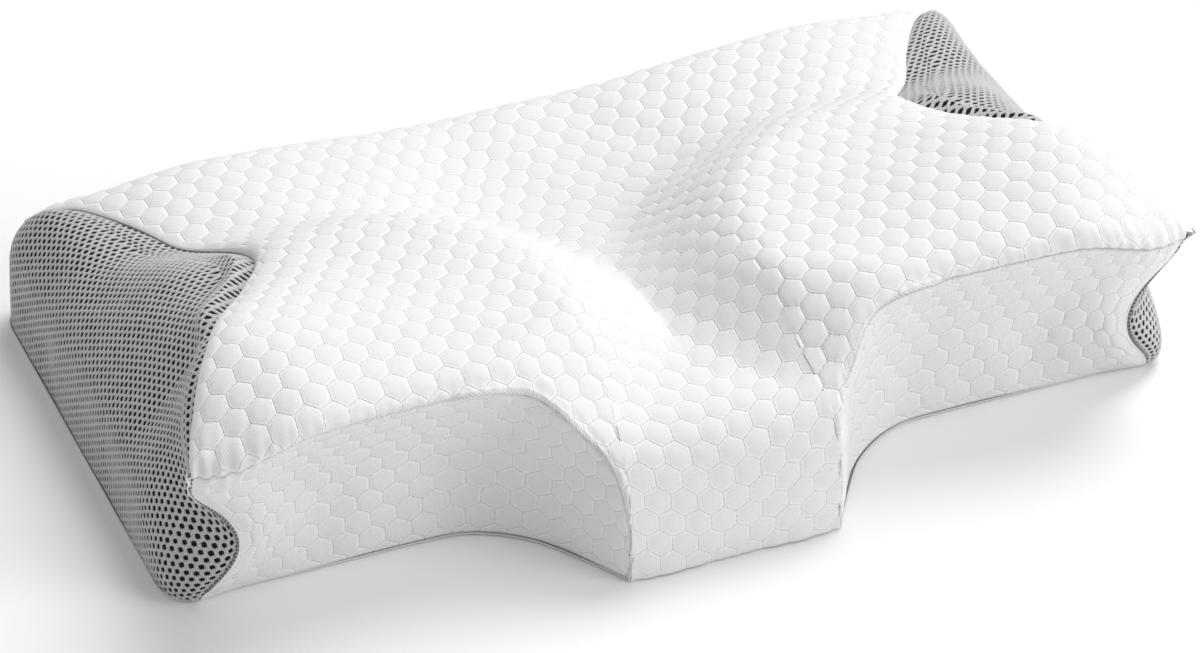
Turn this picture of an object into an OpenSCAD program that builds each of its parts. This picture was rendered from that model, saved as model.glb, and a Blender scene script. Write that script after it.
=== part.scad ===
// Contour neck pillow: foam core, inner liner and a sewn cover with a rear zip.
// X runs along the length, the tongue points to -Y, and the base rests on Z = 0.

/* [Overall size] */
// Length of the base from end to end
base_length = 620; // [560:5:680]
// Depth of the base from the tongue to the rear wall
base_depth = 386; // [350:2:420]
// Height of the raised side wings along their inner crest
wing_height = 128; // [118:1:136]
// How much further the wings rise towards their outer ends
wing_dome_height = 24; // [4:1:28]
// Height of the rear shoulders beside the head hollow
shoulder_height = 95; // [85:1:105]

/* [Top shape] */
// Half width of the valley between the wing crests
valley_half_width = 58; // [45:1:75]
// Distance over which a wing slopes down to the valley and to the rear
wing_slope_width = 75; // [60:1:90]
// Radius of the wing crest where it turns from the valley to the rear slope
crest_radius = 90; // [60:1:100]
// Depth over which the tongue rounds over at the front
nose_depth = 45; // [35:1:60]
// Depth over which the rear edge rounds over
rear_round_depth = 40; // [30:1:50]
// Height of the upright part of the rear wall
rear_upright_height = 40; // [36:1:44]
// Drop of the wing surface where it rolls over to its seam
lip_drop = 9; // [5:1:12]
// Width of the rolled edge beside a seam
lip_width = 28; // [15:1:40]

/* [Walls] */
// Depth of the scoop in the front walls under the wings
front_scoop_depth = 13; // [4:1:18]
// Depth of the scoop in the end walls
end_scoop_depth = 3; // [0:1:6]
// Height up to which the end walls stand upright
end_upright_height = 55; // [50:5:60]
// How far the end walls lean in above that, for each millimetre up
end_slope = 0.69; // [0.6:0.03:0.75]
// How far the front corner bulges out below and pulls in above
corner_wave = 7; // [2:1:10]
// How far the end fabric reaches round the front corner
corner_lobe_reach = 24; // [10:1:30]

/* [Layers] */
// Thickness of the quilted cover
cover_thickness = 2.2; // [1.6:0.1:3]
// Thickness of the inner liner
liner_thickness = 1; // [0.6:0.1:1.4]
// Clearance between two layers
layer_gap = 0.8; // [0.7:0.05:0.9]
// Radius of the welts sewn into the seams
welt_radius = 1.1; // [0.9:0.1:1.2]

/* [Zip] */
// Length of the two rows of teeth
zip_length = 550; // [400:10:560]
// Height of the line where the teeth meet
zip_height = 27; // [26:0.5:28]
// Length of the pull tab
pull_length = 24; // [16:1:28]

/* [Hidden] */

// The outlines below are drawn for a base of this length and depth and scaled to the driving sizes.
drawn_length = 620;
drawn_depth = 386;
scale_x = base_length / drawn_length;
scale_y = base_depth / drawn_depth;
front_y = -195 * scale_y;
rear_y = 191 * scale_y;
tongue_half_width = 64 * scale_x;

// Half outline of the upper front seam, from the tongue's lower corner to the wing tip.
front_seam_outline = [
    [64, -195], [77, -171], [103, -151], [137, -147], [170, -149], [204, -152], [238, -156],
    [272, -157], [302, -147]
];
// Half outline of the base under that seam, from the tongue to the front corner.
front_base_outline = [
    [64, -195], [80, -169], [102, -139], [132, -120], [165, -117], [200, -117], [234, -117],
    [266, -117], [292, -120]
];
// Distance of the end seam from the middle, at equal steps from the wing tip to the rear corner.
end_seam_x = [301, 288, 268, 247, 224, 206, 209, 229, 245, 265, 293];
wing_tip_y = -147;
rear_corner_y = 183;
base_corner = [292, -120];
base_end_x = 310;
base_rear_corner_x = 293;
base_corner_radius = 25;

// Heights along the middle of the pillow, at equal steps from the tongue to the rear.
middle_heights = [84, 87, 91, 88, 84, 78, 75, 77, 82, 84];
// The wing is fully raised past a slanted line beside the tongue.
wing_front_start = [95, -150];
wing_front_slant = 0.6;
wing_crest_rear_y = 20;
tip_droop = 17;
rear_corner_droop = 8;
tongue_edge_height = 8;
// Middle of the dome on a wing and its spread along each direction.
dome_middle = [262, -82];
dome_spread = [95, 64];

// Number of grid cells: across the tongue, along a front seam, along an end seam and up a wall.
tongue_cells = 2;
seam_cells = 14;
end_cells = 18;
wall_rows = 9;
half_cells = tongue_cells + seam_cells;
across_cells = 2 * half_cells;
ring_cells = 2 * across_cells + 2 * end_cells;

// Heights of the lower rows of the walls. The zip lies between the third and the fourth.
wall_levels = [0, 9, 21, 33, 42];
level_full_height = 64;

end_bend_softness = 12;
end_shoulder_power = 6;

seam_margin = welt_radius + 0.8;
liner_outer = cover_thickness + layer_gap;
liner_inner = liner_outer + liner_thickness;
core_inset = liner_inner + 2 * layer_gap;

// ---------- small helpers ----------
function mix(a, b, t) = a + (b - a) * t;
function clamp01(t) = min(1, max(0, t));
function smooth(a, b, t) = let (s = clamp01((t - a) / (b - a))) s * s * (3 - 2 * s);
function unit(v) = v / norm(v);
// Rises from 0 to 1 as a superellipse of the given power.
function roll(t, power) = pow(1 - pow(1 - clamp01(t), power), 1 / power);
// Smooth curve through evenly stepped values, at t from 0 to 1.
function curve(values, t) =
    let (last = len(values) - 1, s = clamp01(t) * last, i = min(floor(s), last - 1), f = s - i,
        a = values[max(i - 1, 0)], b = values[i], c = values[i + 1], d = values[min(i + 2, last)])
    b + 0.5 * f * ((c - a) + f * ((2 * a - 5 * b + 4 * c - d) + f * (3 * (b - c) + d - a)));
// Steps from 0 to 1 that are close together at both ends.
function eased(i, n) = 0.5 - 0.5 * cos(180 * i / n);

// ---------- outlines of the right half, in ring order ----------
function scaled(p) = [p[0] * scale_x, p[1] * scale_y];
// Share of the way along a front seam, with shorter cells next to the tongue.
function front_place(i) = pow((i - tongue_cells) / seam_cells, 1.4);
function seam_front_point(i) = i <= tongue_cells
    ? [tongue_half_width * i / tongue_cells, front_y]
    : scaled(curve(front_seam_outline, front_place(i)));
function seam_end_point(j) = let (v = eased(j, end_cells))
    scaled([curve(end_seam_x, v), mix(wing_tip_y, rear_corner_y, v)]);
function seam_rear_point(i) =
    [end_seam_x[len(end_seam_x) - 1] * scale_x * i / half_cells, rear_corner_y * scale_y];

function base_front_point(i) = i <= tongue_cells
    ? [tongue_half_width * i / tongue_cells, front_y]
    : scaled(curve(front_base_outline, front_place(i)));
function base_end_point(j) =
    let (v = eased(j, end_cells), y = mix(base_corner[1], rear_y / scale_y, v),
        from_front = roll((y - base_corner[1]) / base_corner_radius, 2),
        from_rear = roll((rear_y / scale_y - y) / base_corner_radius, 2))
    scaled([min(mix(base_corner[0], base_end_x, from_front),
        mix(base_rear_corner_x, base_end_x, from_rear)), y]);
function base_rear_point(i) = [base_rear_corner_x * scale_x * i / half_cells, rear_y];

seam_half = concat(
    [for (i = [0:half_cells]) seam_front_point(i)],
    [for (j = [1:end_cells]) seam_end_point(j)],
    [for (i = [half_cells - 1:-1:0]) seam_rear_point(i)]);
base_half = concat(
    [for (i = [0:half_cells]) base_front_point(i)],
    [for (j = [1:end_cells]) base_end_point(j)],
    [for (i = [half_cells - 1:-1:0]) base_rear_point(i)]);
half_last = len(seam_half) - 1;

// ---------- outlines moved inwards by a layer's depth ----------
function flip(p) = [-p[0], p[1]];
function before(points, i) = i == 0 ? flip(points[1]) : points[i - 1];
function after(points, i) = i == half_last ? flip(points[half_last - 1]) : points[i + 1];
function edge_normal(a, b) = let (t = unit(b - a)) [t[1], -t[0]];
// Outward direction at a corner, long enough to move both of its edges by one unit, but no
// longer than the sum of their normals at a sharp corner.
function corner_normal(points, i) =
    let (n = edge_normal(before(points, i), points[i]), m = edge_normal(points[i], after(points, i)))
    (n + m) / max(1, 1 + n * m);
// The short cell behind the wing tip moves as a whole, so that it never turns inside out.
function inset_normal(points, i) = corner_normal(points, i == half_cells + 1 ? half_cells : i);
function inset(points, depth) = [for (i = [0:half_last]) points[i] - depth * inset_normal(points, i)];
base_normals = [for (i = [0:half_last]) corner_normal(base_half, i)];

// ---------- height of the top ----------
function middle_height(y) = curve(middle_heights, (y - front_y) / (rear_y - front_y));
function low_height(x, y) = mix(middle_height(y), shoulder_height, smooth(15, 190, x / scale_x))
    - rear_corner_droop * smooth(190, 290, x / scale_x) * smooth(80, 185, y / scale_y);
// Distance inside the rounded crest line, negative outside it.
function crest_distance(x, y) =
    let (a = x - valley_half_width * scale_x, b = wing_crest_rear_y * scale_y - y)
    crest_radius - norm([max(crest_radius - a, 0), max(crest_radius - b, 0)])
        + max(min(a, b) - crest_radius, 0);
function wing_share(x, y) =
    let (slant = y / scale_y - wing_front_start[1] + wing_front_slant * (x / scale_x - wing_front_start[0]))
    smooth(-wing_slope_width, 10, crest_distance(x, y)) * smooth(-45, 35, slant);
function tip_share(x, y) = smooth(225, 305, x / scale_x) * smooth(60, 150, -y / scale_y);
function dome_share(x, y) =
    let (a = (x / scale_x - dome_middle[0]) / dome_spread[0],
        b = (y / scale_y - dome_middle[1]) / dome_spread[1])
    exp(-a * a - b * b);
// Height of the plain form at a point, depth mm below the cover's outer face.
function form_height(px, y, depth) =
    let (x = abs(px), low = low_height(x, y),
        wing = wing_height + wing_dome_height * dome_share(x, y) - tip_droop * tip_share(x, y),
        foot = tongue_edge_height + 2 * depth,
        front = roll((y - front_y - depth) / nose_depth, 3),
        rear = roll((rear_y - depth - y) / rear_round_depth, 2),
        full = foot + (low - foot) * front + wing_share(x, y) * (wing - low))
    mix(min(rear_upright_height, full), full, rear) - depth;
// Drop of the rolled edge beside the seams, from the distances to the front and end seams.
function edge_drop(px, y, to_front, to_end) =
    let (share = wing_share(abs(px), y), drop = mix(0.4, 1, share) * lip_drop)
    drop * (1 - roll(min(to_end, to_front + (1 - share) * lip_width) / lip_width, 2));

// ---------- grid of the top ----------
function seam_at(seam, i) = let (p = seam[abs(i - half_cells)]) i < half_cells ? flip(p) : p;
function rear_at(seam, i) = let (p = seam[half_last - abs(i - half_cells)]) i < half_cells ? flip(p) : p;
function top_point(seam, depth, i, j) =
    let (u = (i - half_cells) / half_cells, v = eased(j, end_cells),
        front = seam_at(seam, i), rear = rear_at(seam, i),
        tip = seam[half_cells], corner = seam[half_cells + end_cells], side = seam[half_cells + j],
        pull = side - mix(tip, corner, v),
        x = mix(front[0], rear[0], v) + u * pull[0],
        y = mix(front[1], rear[1], v) + abs(u) * pull[1],
        to_front = norm([x, y] - front), to_end = (1 - abs(u)) * abs(side[0]))
    [x, y, form_height(x, y, depth) - edge_drop(x, y, to_front, to_end)];
function top_grid(depth) = let (seam = inset(seam_half, depth))
    [for (j = [0:end_cells]) [for (i = [0:across_cells]) top_point(seam, depth, i, j)]];

// ---------- grid of the walls ----------
// The ring runs along the front from left to right, up the right end, back along the rear
// and down the left end.
function ring_half_index(k) =
    k <= across_cells ? abs(k - half_cells)
    : k <= across_cells + end_cells ? half_cells + (k - across_cells)
    : k <= 2 * across_cells + end_cells ? half_last - abs(k - across_cells - end_cells - half_cells)
    : half_cells + (ring_cells - k);
function ring_side(k) =
    (k >= half_cells && k <= across_cells + end_cells + half_cells) ? 1 : -1;
function ring_grid_point(top, k) =
    k <= across_cells ? top[0][k]
    : k <= across_cells + end_cells ? top[k - across_cells][across_cells]
    : k <= 2 * across_cells + end_cells ? top[end_cells][2 * across_cells + end_cells - k]
    : top[ring_cells - k][0];

function front_share(h) = h <= half_cells ? smooth(0, 0.49, front_place(max(h, tongue_cells))) : 0;
function end_place(h) = clamp01((h - half_cells) / end_cells);
function corner_share(h) = h <= half_cells
    ? smooth(0.66, 1, front_place(max(h, tongue_cells)))
    : 1 - smooth(0, 0.42, end_place(h));
function end_share(h) = h <= half_cells ? 0 : sin(180 * end_place(h));
function rear_share(h) = h <= half_cells ? 0 : smooth(0.8, 1, end_place(h));
function row_height(row, top) =
    let (s = min(1, top / level_full_height), last = len(wall_levels) - 1, knee = wall_levels[last] * s)
    row <= last ? wall_levels[row] * s : mix(knee, top, (row - last) / (wall_rows - last));
// Share of the way from the base to the seam at a height on the rounded rear wall.
function rear_lean(z, top) =
    let (knee = wall_levels[len(wall_levels) - 1], q = clamp01((z - knee) / (top - knee)), reach = 0.57)
    (1 - sqrt(1 - pow(reach * q, 2))) / (1 - sqrt(1 - pow(reach, 2)));
// The same on an end wall: upright, then one slope, and nearly level where the seam is still far in.
function slope_rise(z) = let (d = z - end_upright_height) (sqrt(d * d + pow(end_bend_softness, 2)) + d) / 2;
function end_lean(z, top, reach) =
    let (full = slope_rise(top) - slope_rise(0), share = min(1, end_slope * full / max(reach, 1)),
        shoulder = 1 - pow(1 - pow(clamp01(z / top), end_shoulder_power), 1 / end_shoulder_power))
    mix(shoulder, (slope_rise(z) - slope_rise(0)) / full, share);
// A point of a wall that starts at the height of floor and stops a margin of head below its seam.
function wall_point(top, base, depth, k, row, floor, head) =
    let (h = ring_half_index(k), side = ring_side(k), lip = ring_grid_point(top, k),
        foot = [side * base[h][0], base[h][1]], out = [side * base_normals[h][0], base_normals[h][1]],
        ceiling = lip[2] - head, step = (ceiling - floor) / (2 * wall_rows),
        z = min(max(row_height(row, lip[2]), floor + row * step), ceiling - (wall_rows - row) * step),
        rise = z / lip[2], f = mix(z / (lip[2] + depth), rise, pow(rise, 8)),
        end_part = smooth(0.02, 0.25, end_place(h)),
        reach = norm([lip[0], lip[1]] - foot),
        end_or_front = mix(f, end_lean(f * lip[2], lip[2], reach), end_part),
        lean = mix(end_or_front, rear_lean(z, lip[2]), rear_share(h)),
        scoop = (front_scoop_depth * front_share(h) * (1 - corner_share(h))
            + end_scoop_depth * end_share(h) * (1 - rear_share(h))) * sin(180 * f),
        wave = corner_wave * corner_share(h) * sin(360 * f),
        lobe = -side * corner_lobe_reach * pow(corner_share(h), 2) * pow(sin(180 * min(1, f * 1.15)), 2),
        flat = mix(foot, [lip[0], lip[1]], lean) + out * (wave - scoop) + [lobe, 0])
    [flat[0], flat[1], z];
function wall_grid(top, depth, first, last, floor, head) = let (base = inset(base_half, depth))
    [for (row = [0:wall_rows]) [for (k = [first:last])
        wall_point(top, base, depth, k % ring_cells, row, floor, head)]];

// ---------- closed solids from grids ----------
// Moves the first or last row or column of a grid in from its edge by a margin, but not past
// most of the first cell.
function step_in(edge, next, margin) = edge + unit(next - edge) * min(margin, 0.7 * norm(next - edge));
function trim_first(grid, margin) =
    [for (j = [0:len(grid) - 1]) j > 0 ? grid[j]
        : [for (i = [0:len(grid[0]) - 1]) step_in(grid[0][i], grid[1][i], margin)]];
function reversed(list) = [for (i = [len(list) - 1:-1:0]) list[i]];
function trim_rows(grid, low, high) =
    reversed(trim_first(reversed(trim_first(grid, low)), high));
function trim_columns(grid, low, high) = [for (line = grid) let (last = len(line) - 1)
    [for (i = [0:last]) i == 0 ? step_in(line[0], line[1], low)
        : i == last ? step_in(line[last], line[last - 1], high) : line[i]]];
function joined(lists) = [for (list = lists) for (item = list) item];
function quad(a, b, c, d) = [[a, b, c], [a, c, d]];
// The other diagonal, so that the left half is the mirror image of the right half.
function quad_on(left, a, b, c, d) = left ? quad(b, c, d, a) : quad(a, b, c, d);
// One sheet of fabric: an outer and an inner grid of the same size, closed round the edge.
// Columns from left_from to left_to lie on the left half.
module sheet(outer, inner, left_from = -1, left_to = -1) {
    rows = len(outer);
    columns = len(outer[0]);
    count = rows * columns;
    function at(j, i) = j * columns + i;
    outer_faces = [for (j = [0:rows - 2]) for (i = [0:columns - 2])
        for (f = quad_on(i >= left_from && i < left_to,
            at(j, i), at(j + 1, i), at(j + 1, i + 1), at(j, i + 1))) f];
    faces = concat(
        outer_faces,
        [for (f = outer_faces) [f[0] + count, f[2] + count, f[1] + count]],
        [for (i = [0:columns - 2])
            for (f = quad(at(0, i), at(0, i + 1), at(0, i + 1) + count, at(0, i) + count)) f],
        [for (i = [0:columns - 2])
            for (f = quad(at(rows - 1, i), at(rows - 1, i) + count,
                at(rows - 1, i + 1) + count, at(rows - 1, i + 1))) f],
        [for (j = [0:rows - 2])
            for (f = quad(at(j, 0), at(j, 0) + count, at(j + 1, 0) + count, at(j + 1, 0))) f],
        [for (j = [0:rows - 2])
            for (f = quad(at(j, columns - 1), at(j + 1, columns - 1),
                at(j + 1, columns - 1) + count, at(j, columns - 1) + count)) f]);
    polyhedron(points = concat(joined(outer), joined(inner)), faces = faces);
}

// Faces of a whole skin, top and walls, with its first point at an index.
function skin_index(j, i) = j * (across_cells + 1) + i;
function skin_ring_index(k) =
    k <= across_cells ? skin_index(0, k)
    : k <= across_cells + end_cells ? skin_index(k - across_cells, across_cells)
    : k <= 2 * across_cells + end_cells ? skin_index(end_cells, 2 * across_cells + end_cells - k)
    : skin_index(ring_cells - k, 0);
skin_top_count = (across_cells + 1) * (end_cells + 1);
skin_count = skin_top_count + ring_cells * wall_rows;
function skin_wall_index(row, k) = let (m = k % ring_cells)
    row == wall_rows ? skin_ring_index(m) : skin_top_count + row * ring_cells + m;
skin_faces = concat(
    [for (j = [0:end_cells - 1]) for (i = [0:across_cells - 1])
        for (f = quad_on(i < half_cells, skin_index(j, i), skin_index(j + 1, i),
            skin_index(j + 1, i + 1), skin_index(j, i + 1))) f],
    [for (row = [0:wall_rows - 1]) for (k = [0:ring_cells - 1])
        for (f = quad_on(k < half_cells || k >= across_cells + end_cells + half_cells,
            skin_wall_index(row, k), skin_wall_index(row + 1, k),
            skin_wall_index(row + 1, k + 1), skin_wall_index(row, k + 1))) f]);
function skin_points(depth, floor) =
    let (top = top_grid(depth), wall = wall_grid(top, depth, 0, ring_cells - 1, floor, 0))
    concat(joined(top), [for (row = [0:wall_rows - 1]) for (k = [0:ring_cells - 1]) wall[row][k]]);

// ---------- foam and liner ----------
// The flat underside is laid out in strips from the front to the rear, with a fan at each end.
function rear_opposite(k) = 2 * across_cells + end_cells - k;
underside = concat(
    [for (k = [0:across_cells - 1])
        for (f = quad(skin_wall_index(0, k), skin_wall_index(0, k + 1),
            skin_wall_index(0, rear_opposite(k + 1)), skin_wall_index(0, rear_opposite(k)))) f],
    [for (corner = [across_cells, ring_cells - end_cells]) for (k = [1:end_cells - 1])
        [skin_wall_index(0, corner), skin_wall_index(0, corner + k), skin_wall_index(0, corner + k + 1)]]);
module foam_core() {
    color("ivory")
        polyhedron(points = skin_points(core_inset, core_inset), faces = concat(skin_faces, underside));
}

module liner_body() {
    floor = liner_outer + liner_thickness + layer_gap;
    inner_faces = [for (f = skin_faces) [f[0] + skin_count, f[2] + skin_count, f[1] + skin_count]];
    rim = [for (k = [0:ring_cells - 1])
        for (f = quad(skin_wall_index(0, k), skin_wall_index(0, k + 1),
            skin_wall_index(0, k + 1) + skin_count, skin_wall_index(0, k) + skin_count)) f];
    color("whitesmoke")
        polyhedron(points = concat(skin_points(liner_outer, floor), skin_points(liner_inner, floor)),
            faces = concat(skin_faces, inner_faces, rim));
}

// A flat piece with the outline of the base, moved in by a depth.
module base_plate(depth, thickness) {
    half = inset(base_half, depth);
    outline = concat(half, [for (i = [half_last - 1:-1:1]) flip(half[i])]);
    linear_extrude(thickness)
        polygon(outline);
}

module liner_base() {
    color("whitesmoke")
        translate([0, 0, liner_outer])
            base_plate(liner_outer, liner_thickness);
}

// ---------- cover ----------
top_outer = top_grid(0);
top_inner = top_grid(cover_thickness);

module cover_top_panel() {
    // The front of the tongue hangs down to the bottom panel between the two front seams.
    function at_edge(grid, depth, i) = let (from_middle = i - half_cells)
        abs(from_middle) > tongue_cells ? grid[0][i]
        : [from_middle / tongue_cells * (tongue_half_width - seam_margin), front_y + depth, floor_lift];
    grids = [for (layer = [[top_outer, 0], [top_inner, cover_thickness]])
        let (grid = trim_columns(trim_rows(layer[0], seam_margin, seam_margin), seam_margin, seam_margin))
        [for (j = [0:end_cells]) [for (i = [0:across_cells])
            j == 0 ? at_edge(grid, layer[1], i) : grid[j][i]]]];
    color("white")
        sheet(grids[0], grids[1], 0, half_cells);
}

// A wall panel between two places on the ring and two rows.
module wall_panel(first, last, low_row, high_row, left_from = -1, left_to = -1) {
    grids = [for (layer = [[top_outer, 0], [top_inner, cover_thickness]])
        let (grid = wall_grid(layer[0], layer[1], first, last, floor_lift, seam_margin))
        trim_columns([for (row = [low_row:high_row]) grid[row]], seam_margin, seam_margin)];
    sheet(grids[0], grids[1], left_from, left_to);
}

floor_lift = cover_thickness + layer_gap;
module front_panel_right() {
    wall_panel(half_cells + tongue_cells, across_cells, 0, wall_rows);
}
module mesh_end_right() {
    wall_panel(across_cells, across_cells + end_cells, 0, wall_rows);
}
module cover_front_panel_right() { color("white") front_panel_right(); }
module cover_front_panel_left() { color("white") mirror([1, 0, 0]) front_panel_right(); }
module cover_mesh_end_right() { color("dimgray") mesh_end_right(); }
module cover_mesh_end_left() { color("dimgray") mirror([1, 0, 0]) mesh_end_right(); }

rear_first = across_cells + end_cells;
rear_last = rear_first + across_cells;
module cover_rear_panel_upper() {
    color("white")
        wall_panel(rear_first, rear_last, 3, wall_rows, half_cells, across_cells);
}
module cover_rear_panel_lower() {
    color("white")
        wall_panel(rear_first, rear_last, 0, 2, half_cells, across_cells);
}

module cover_bottom_panel() {
    color("gainsboro")
        base_plate(0, cover_thickness);
}

// ---------- welts ----------
// A tube of six sides along a list of points.
module welt(points) {
    sides = 6;
    last = len(points) - 1;
    function ahead(n) = unit(points[min(n + 1, last)] - points[max(n - 1, 0)]);
    function across(n) = unit(cross(ahead(n), [0.05, 0.04, 1]));
    rings = [for (n = [0:last]) for (s = [0:sides - 1])
        let (angle = 360 * s / sides, a = across(n), b = cross(a, ahead(n)))
        points[n] + welt_radius * (cos(angle) * a + sin(angle) * b)];
    function at(n, s) = n * sides + s % sides;
    polyhedron(points = rings, faces = concat(
        [[for (s = [0:sides - 1]) at(0, s)]],
        [[for (s = [sides - 1:-1:0]) at(last, s)]],
        [for (n = [0:last - 1]) for (s = [0:sides - 1])
            for (f = quad(at(n, s), at(n + 1, s), at(n + 1, s + 1), at(n, s + 1))) f]));
}
// Middle of the seam's thickness at a place on the ring and a row.
mid_top = top_grid(cover_thickness / 2);
function seam_grid(first, last) =
    wall_grid(mid_top, cover_thickness / 2, first, last, cover_thickness / 2, 0);
welt_clearance = welt_radius + 0.6;
// The seams are too steep or too sharp for a round welt in the cells nearest the tongue and
// nearest the rear corner.
front_welt_start = 5;
end_welt_stop = 4;
rear_welt_trim = 2;
module front_welt_right() {
    line = seam_grid(half_cells + tongue_cells, across_cells)[wall_rows];
    last = len(line) - 1;
    welt([for (i = [front_welt_start:last])
        i == last ? step_in(line[last], line[last - 1], welt_clearance) : line[i]]);
}
// The end welt runs up the front corner and along the end seam to just before the rear corner.
module end_welt_right() {
    grid = seam_grid(across_cells, across_cells + end_cells);
    up = [for (row = [1:wall_rows - 1]) grid[row][0]];
    welt(concat(up, [for (j = [0:end_cells - end_welt_stop]) grid[wall_rows][j]]));
}
module front_seam_welt_right() { color("white") front_welt_right(); }
module front_seam_welt_left() { color("white") mirror([1, 0, 0]) front_welt_right(); }
module end_seam_welt_right() { color("dimgray") end_welt_right(); }
module end_seam_welt_left() { color("dimgray") mirror([1, 0, 0]) end_welt_right(); }
module rear_seam_welt() {
    line = seam_grid(rear_first, rear_last)[wall_rows];
    last = len(line) - 1;
    color("white")
        welt([for (i = [rear_welt_trim:last - rear_welt_trim]) line[i]]);
}

// ---------- zip ----------
tooth_radius = 1.2;
tooth_offset = 1.45;
teeth_y = rear_y - 0.8;
tape_thickness = 0.6;
tape_start = 2.8;
tape_end = 5.8;
tape_overrun = 8;
stop_length = 3;
slider_length = 11;
slider_width = 9;
slider_plate = 1;
slider_clearance = 0.5;
lug_thickness = 0.8;
pin_radius = 0.6;
pin_clearance = 0.05;
tab_thickness = 1.2;
tab_width = 3.2;
tab_end_width = 7;
slider_rest_x = zip_length / 2 - slider_length / 2 - 1;
plate_y = teeth_y + tooth_radius + slider_clearance;
pin_y = plate_y + slider_plate + 1.3;

module tape(side) {
    color("white")
        translate([-zip_length / 2 - tape_overrun, teeth_y - tape_thickness / 2,
            zip_height + (side > 0 ? tape_start : -tape_end)])
            cube([zip_length + 2 * tape_overrun, tape_thickness, tape_end - tape_start]);
}
module teeth(side) {
    color("white")
        translate([-zip_length / 2, teeth_y, zip_height + side * tooth_offset])
            rotate([0, 90, 0])
                cylinder(r = tooth_radius, h = zip_length, $fn = 24);
}
module zip_tape_upper() { tape(1); }
module zip_tape_lower() { tape(-1); }
module zip_teeth_upper() { teeth(1); }
module zip_teeth_lower() { teeth(-1); }
module zip_stop(side) {
    width = 2 * (tape_start - 0.1);
    color("silver")
        translate([side * (zip_length / 2 + 0.3 + stop_length / 2), teeth_y, zip_height])
            cube([stop_length, 2 * tooth_radius, width], center = true);
}
module zip_stop_left() { zip_stop(-1); }
module zip_stop_right() { zip_stop(1); }

module zip_slider() {
    lip_z = slider_width / 2 - lug_thickness / 2;
    lug_z = tab_width / 2 + 0.2 + lug_thickness / 2;
    color("silver")
        translate([slider_rest_x, 0, zip_height]) {
            translate([0, plate_y + slider_plate / 2, 0])
                cube([slider_length, slider_plate, slider_width], center = true);
            for (side = [-1, 1]) {
                translate([0, plate_y - 0.4, side * lip_z])
                    cube([slider_length, 1.2, lug_thickness], center = true);
                translate([0, plate_y + slider_plate + 1, side * lug_z])
                    cube([3.4, 2.4, lug_thickness], center = true);
            }
            translate([0, pin_y, 0])
                cylinder(r = pin_radius, h = 2 * lug_z, center = true, $fn = 24);
        }
}

module zip_pull_tab() {
    color("silver")
        translate([slider_rest_x, pin_y, zip_height])
            difference() {
                union() {
                    cylinder(r = 1.15, h = tab_width, center = true, $fn = 24);
                    translate([-pull_length / 2, 0, 0])
                        cube([pull_length, tab_thickness, tab_width], center = true);
                    translate([-pull_length + tab_end_width / 2, 0, 0])
                        rotate([90, 0, 0])
                            cylinder(d = tab_end_width, h = tab_thickness, center = true, $fn = 32);
                }
                cylinder(r = pin_radius + pin_clearance, h = tab_width + 1, center = true, $fn = 24);
            }
}

// A blank label sewn flat to the rear panel.
module care_label() {
    label_size = [34, 14];
    color("white")
        translate([-200, rear_y + 0.3, 4.5])
            cube([label_size[0], 0.5, label_size[1]]);
}

foam_core();
liner_body();
liner_base();
cover_top_panel();
cover_bottom_panel();
cover_front_panel_left();
cover_front_panel_right();
cover_mesh_end_left();
cover_mesh_end_right();
cover_rear_panel_upper();
cover_rear_panel_lower();
front_seam_welt_left();
front_seam_welt_right();
end_seam_welt_left();
end_seam_welt_right();
rear_seam_welt();
zip_tape_upper();
zip_tape_lower();
zip_teeth_upper();
zip_teeth_lower();
zip_stop_left();
zip_stop_right();
zip_slider();
zip_pull_tab();
care_label();
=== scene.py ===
import math

import bmesh
import bpy
import numpy as np
from mathutils import Matrix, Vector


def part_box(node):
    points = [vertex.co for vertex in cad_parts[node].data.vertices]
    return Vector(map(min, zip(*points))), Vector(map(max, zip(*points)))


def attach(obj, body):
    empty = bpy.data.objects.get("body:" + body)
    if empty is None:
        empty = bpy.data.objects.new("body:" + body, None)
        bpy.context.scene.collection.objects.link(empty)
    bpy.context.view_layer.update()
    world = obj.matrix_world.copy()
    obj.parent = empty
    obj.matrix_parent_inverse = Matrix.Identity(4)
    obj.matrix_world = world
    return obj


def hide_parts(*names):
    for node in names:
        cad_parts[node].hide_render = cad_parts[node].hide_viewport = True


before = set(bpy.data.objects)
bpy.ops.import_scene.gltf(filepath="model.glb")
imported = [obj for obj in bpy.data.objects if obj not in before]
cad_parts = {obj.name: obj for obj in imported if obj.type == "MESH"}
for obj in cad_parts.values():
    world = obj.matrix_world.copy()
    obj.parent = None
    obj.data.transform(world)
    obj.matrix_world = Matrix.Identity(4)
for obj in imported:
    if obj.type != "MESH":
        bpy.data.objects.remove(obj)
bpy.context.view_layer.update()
PI = math.pi


def placed(name, data):
    """A new object, linked to the scene."""
    obj = bpy.data.objects.new(name, data)
    bpy.context.scene.collection.objects.link(obj)
    return obj


def axes_at(place, x, y, z):
    """The matrix of an object that stands at place with these axes."""
    return Matrix([[x[i], y[i], z[i], place[i]] for i in range(3)] + [[0, 0, 0, 1]])


# ---- camera
CAMERA_PLACE = (-1.0642, -2.6411, 2.0601)
CAMERA_RIGHT, CAMERA_UP = (0.9265, -0.3763, -0.0052), (0.2223, 0.5363, 0.8142)
CAMERA_BACK = (-0.3036, -0.7555, 0.5805)
camera = placed("camera", bpy.data.cameras.new("camera"))
camera.data.lens = 180
camera.data.sensor_width = 36
camera.data.clip_end = 50
camera.matrix_world = axes_at(CAMERA_PLACE, CAMERA_RIGHT, CAMERA_UP, CAMERA_BACK)
bpy.context.scene.camera = camera

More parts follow.
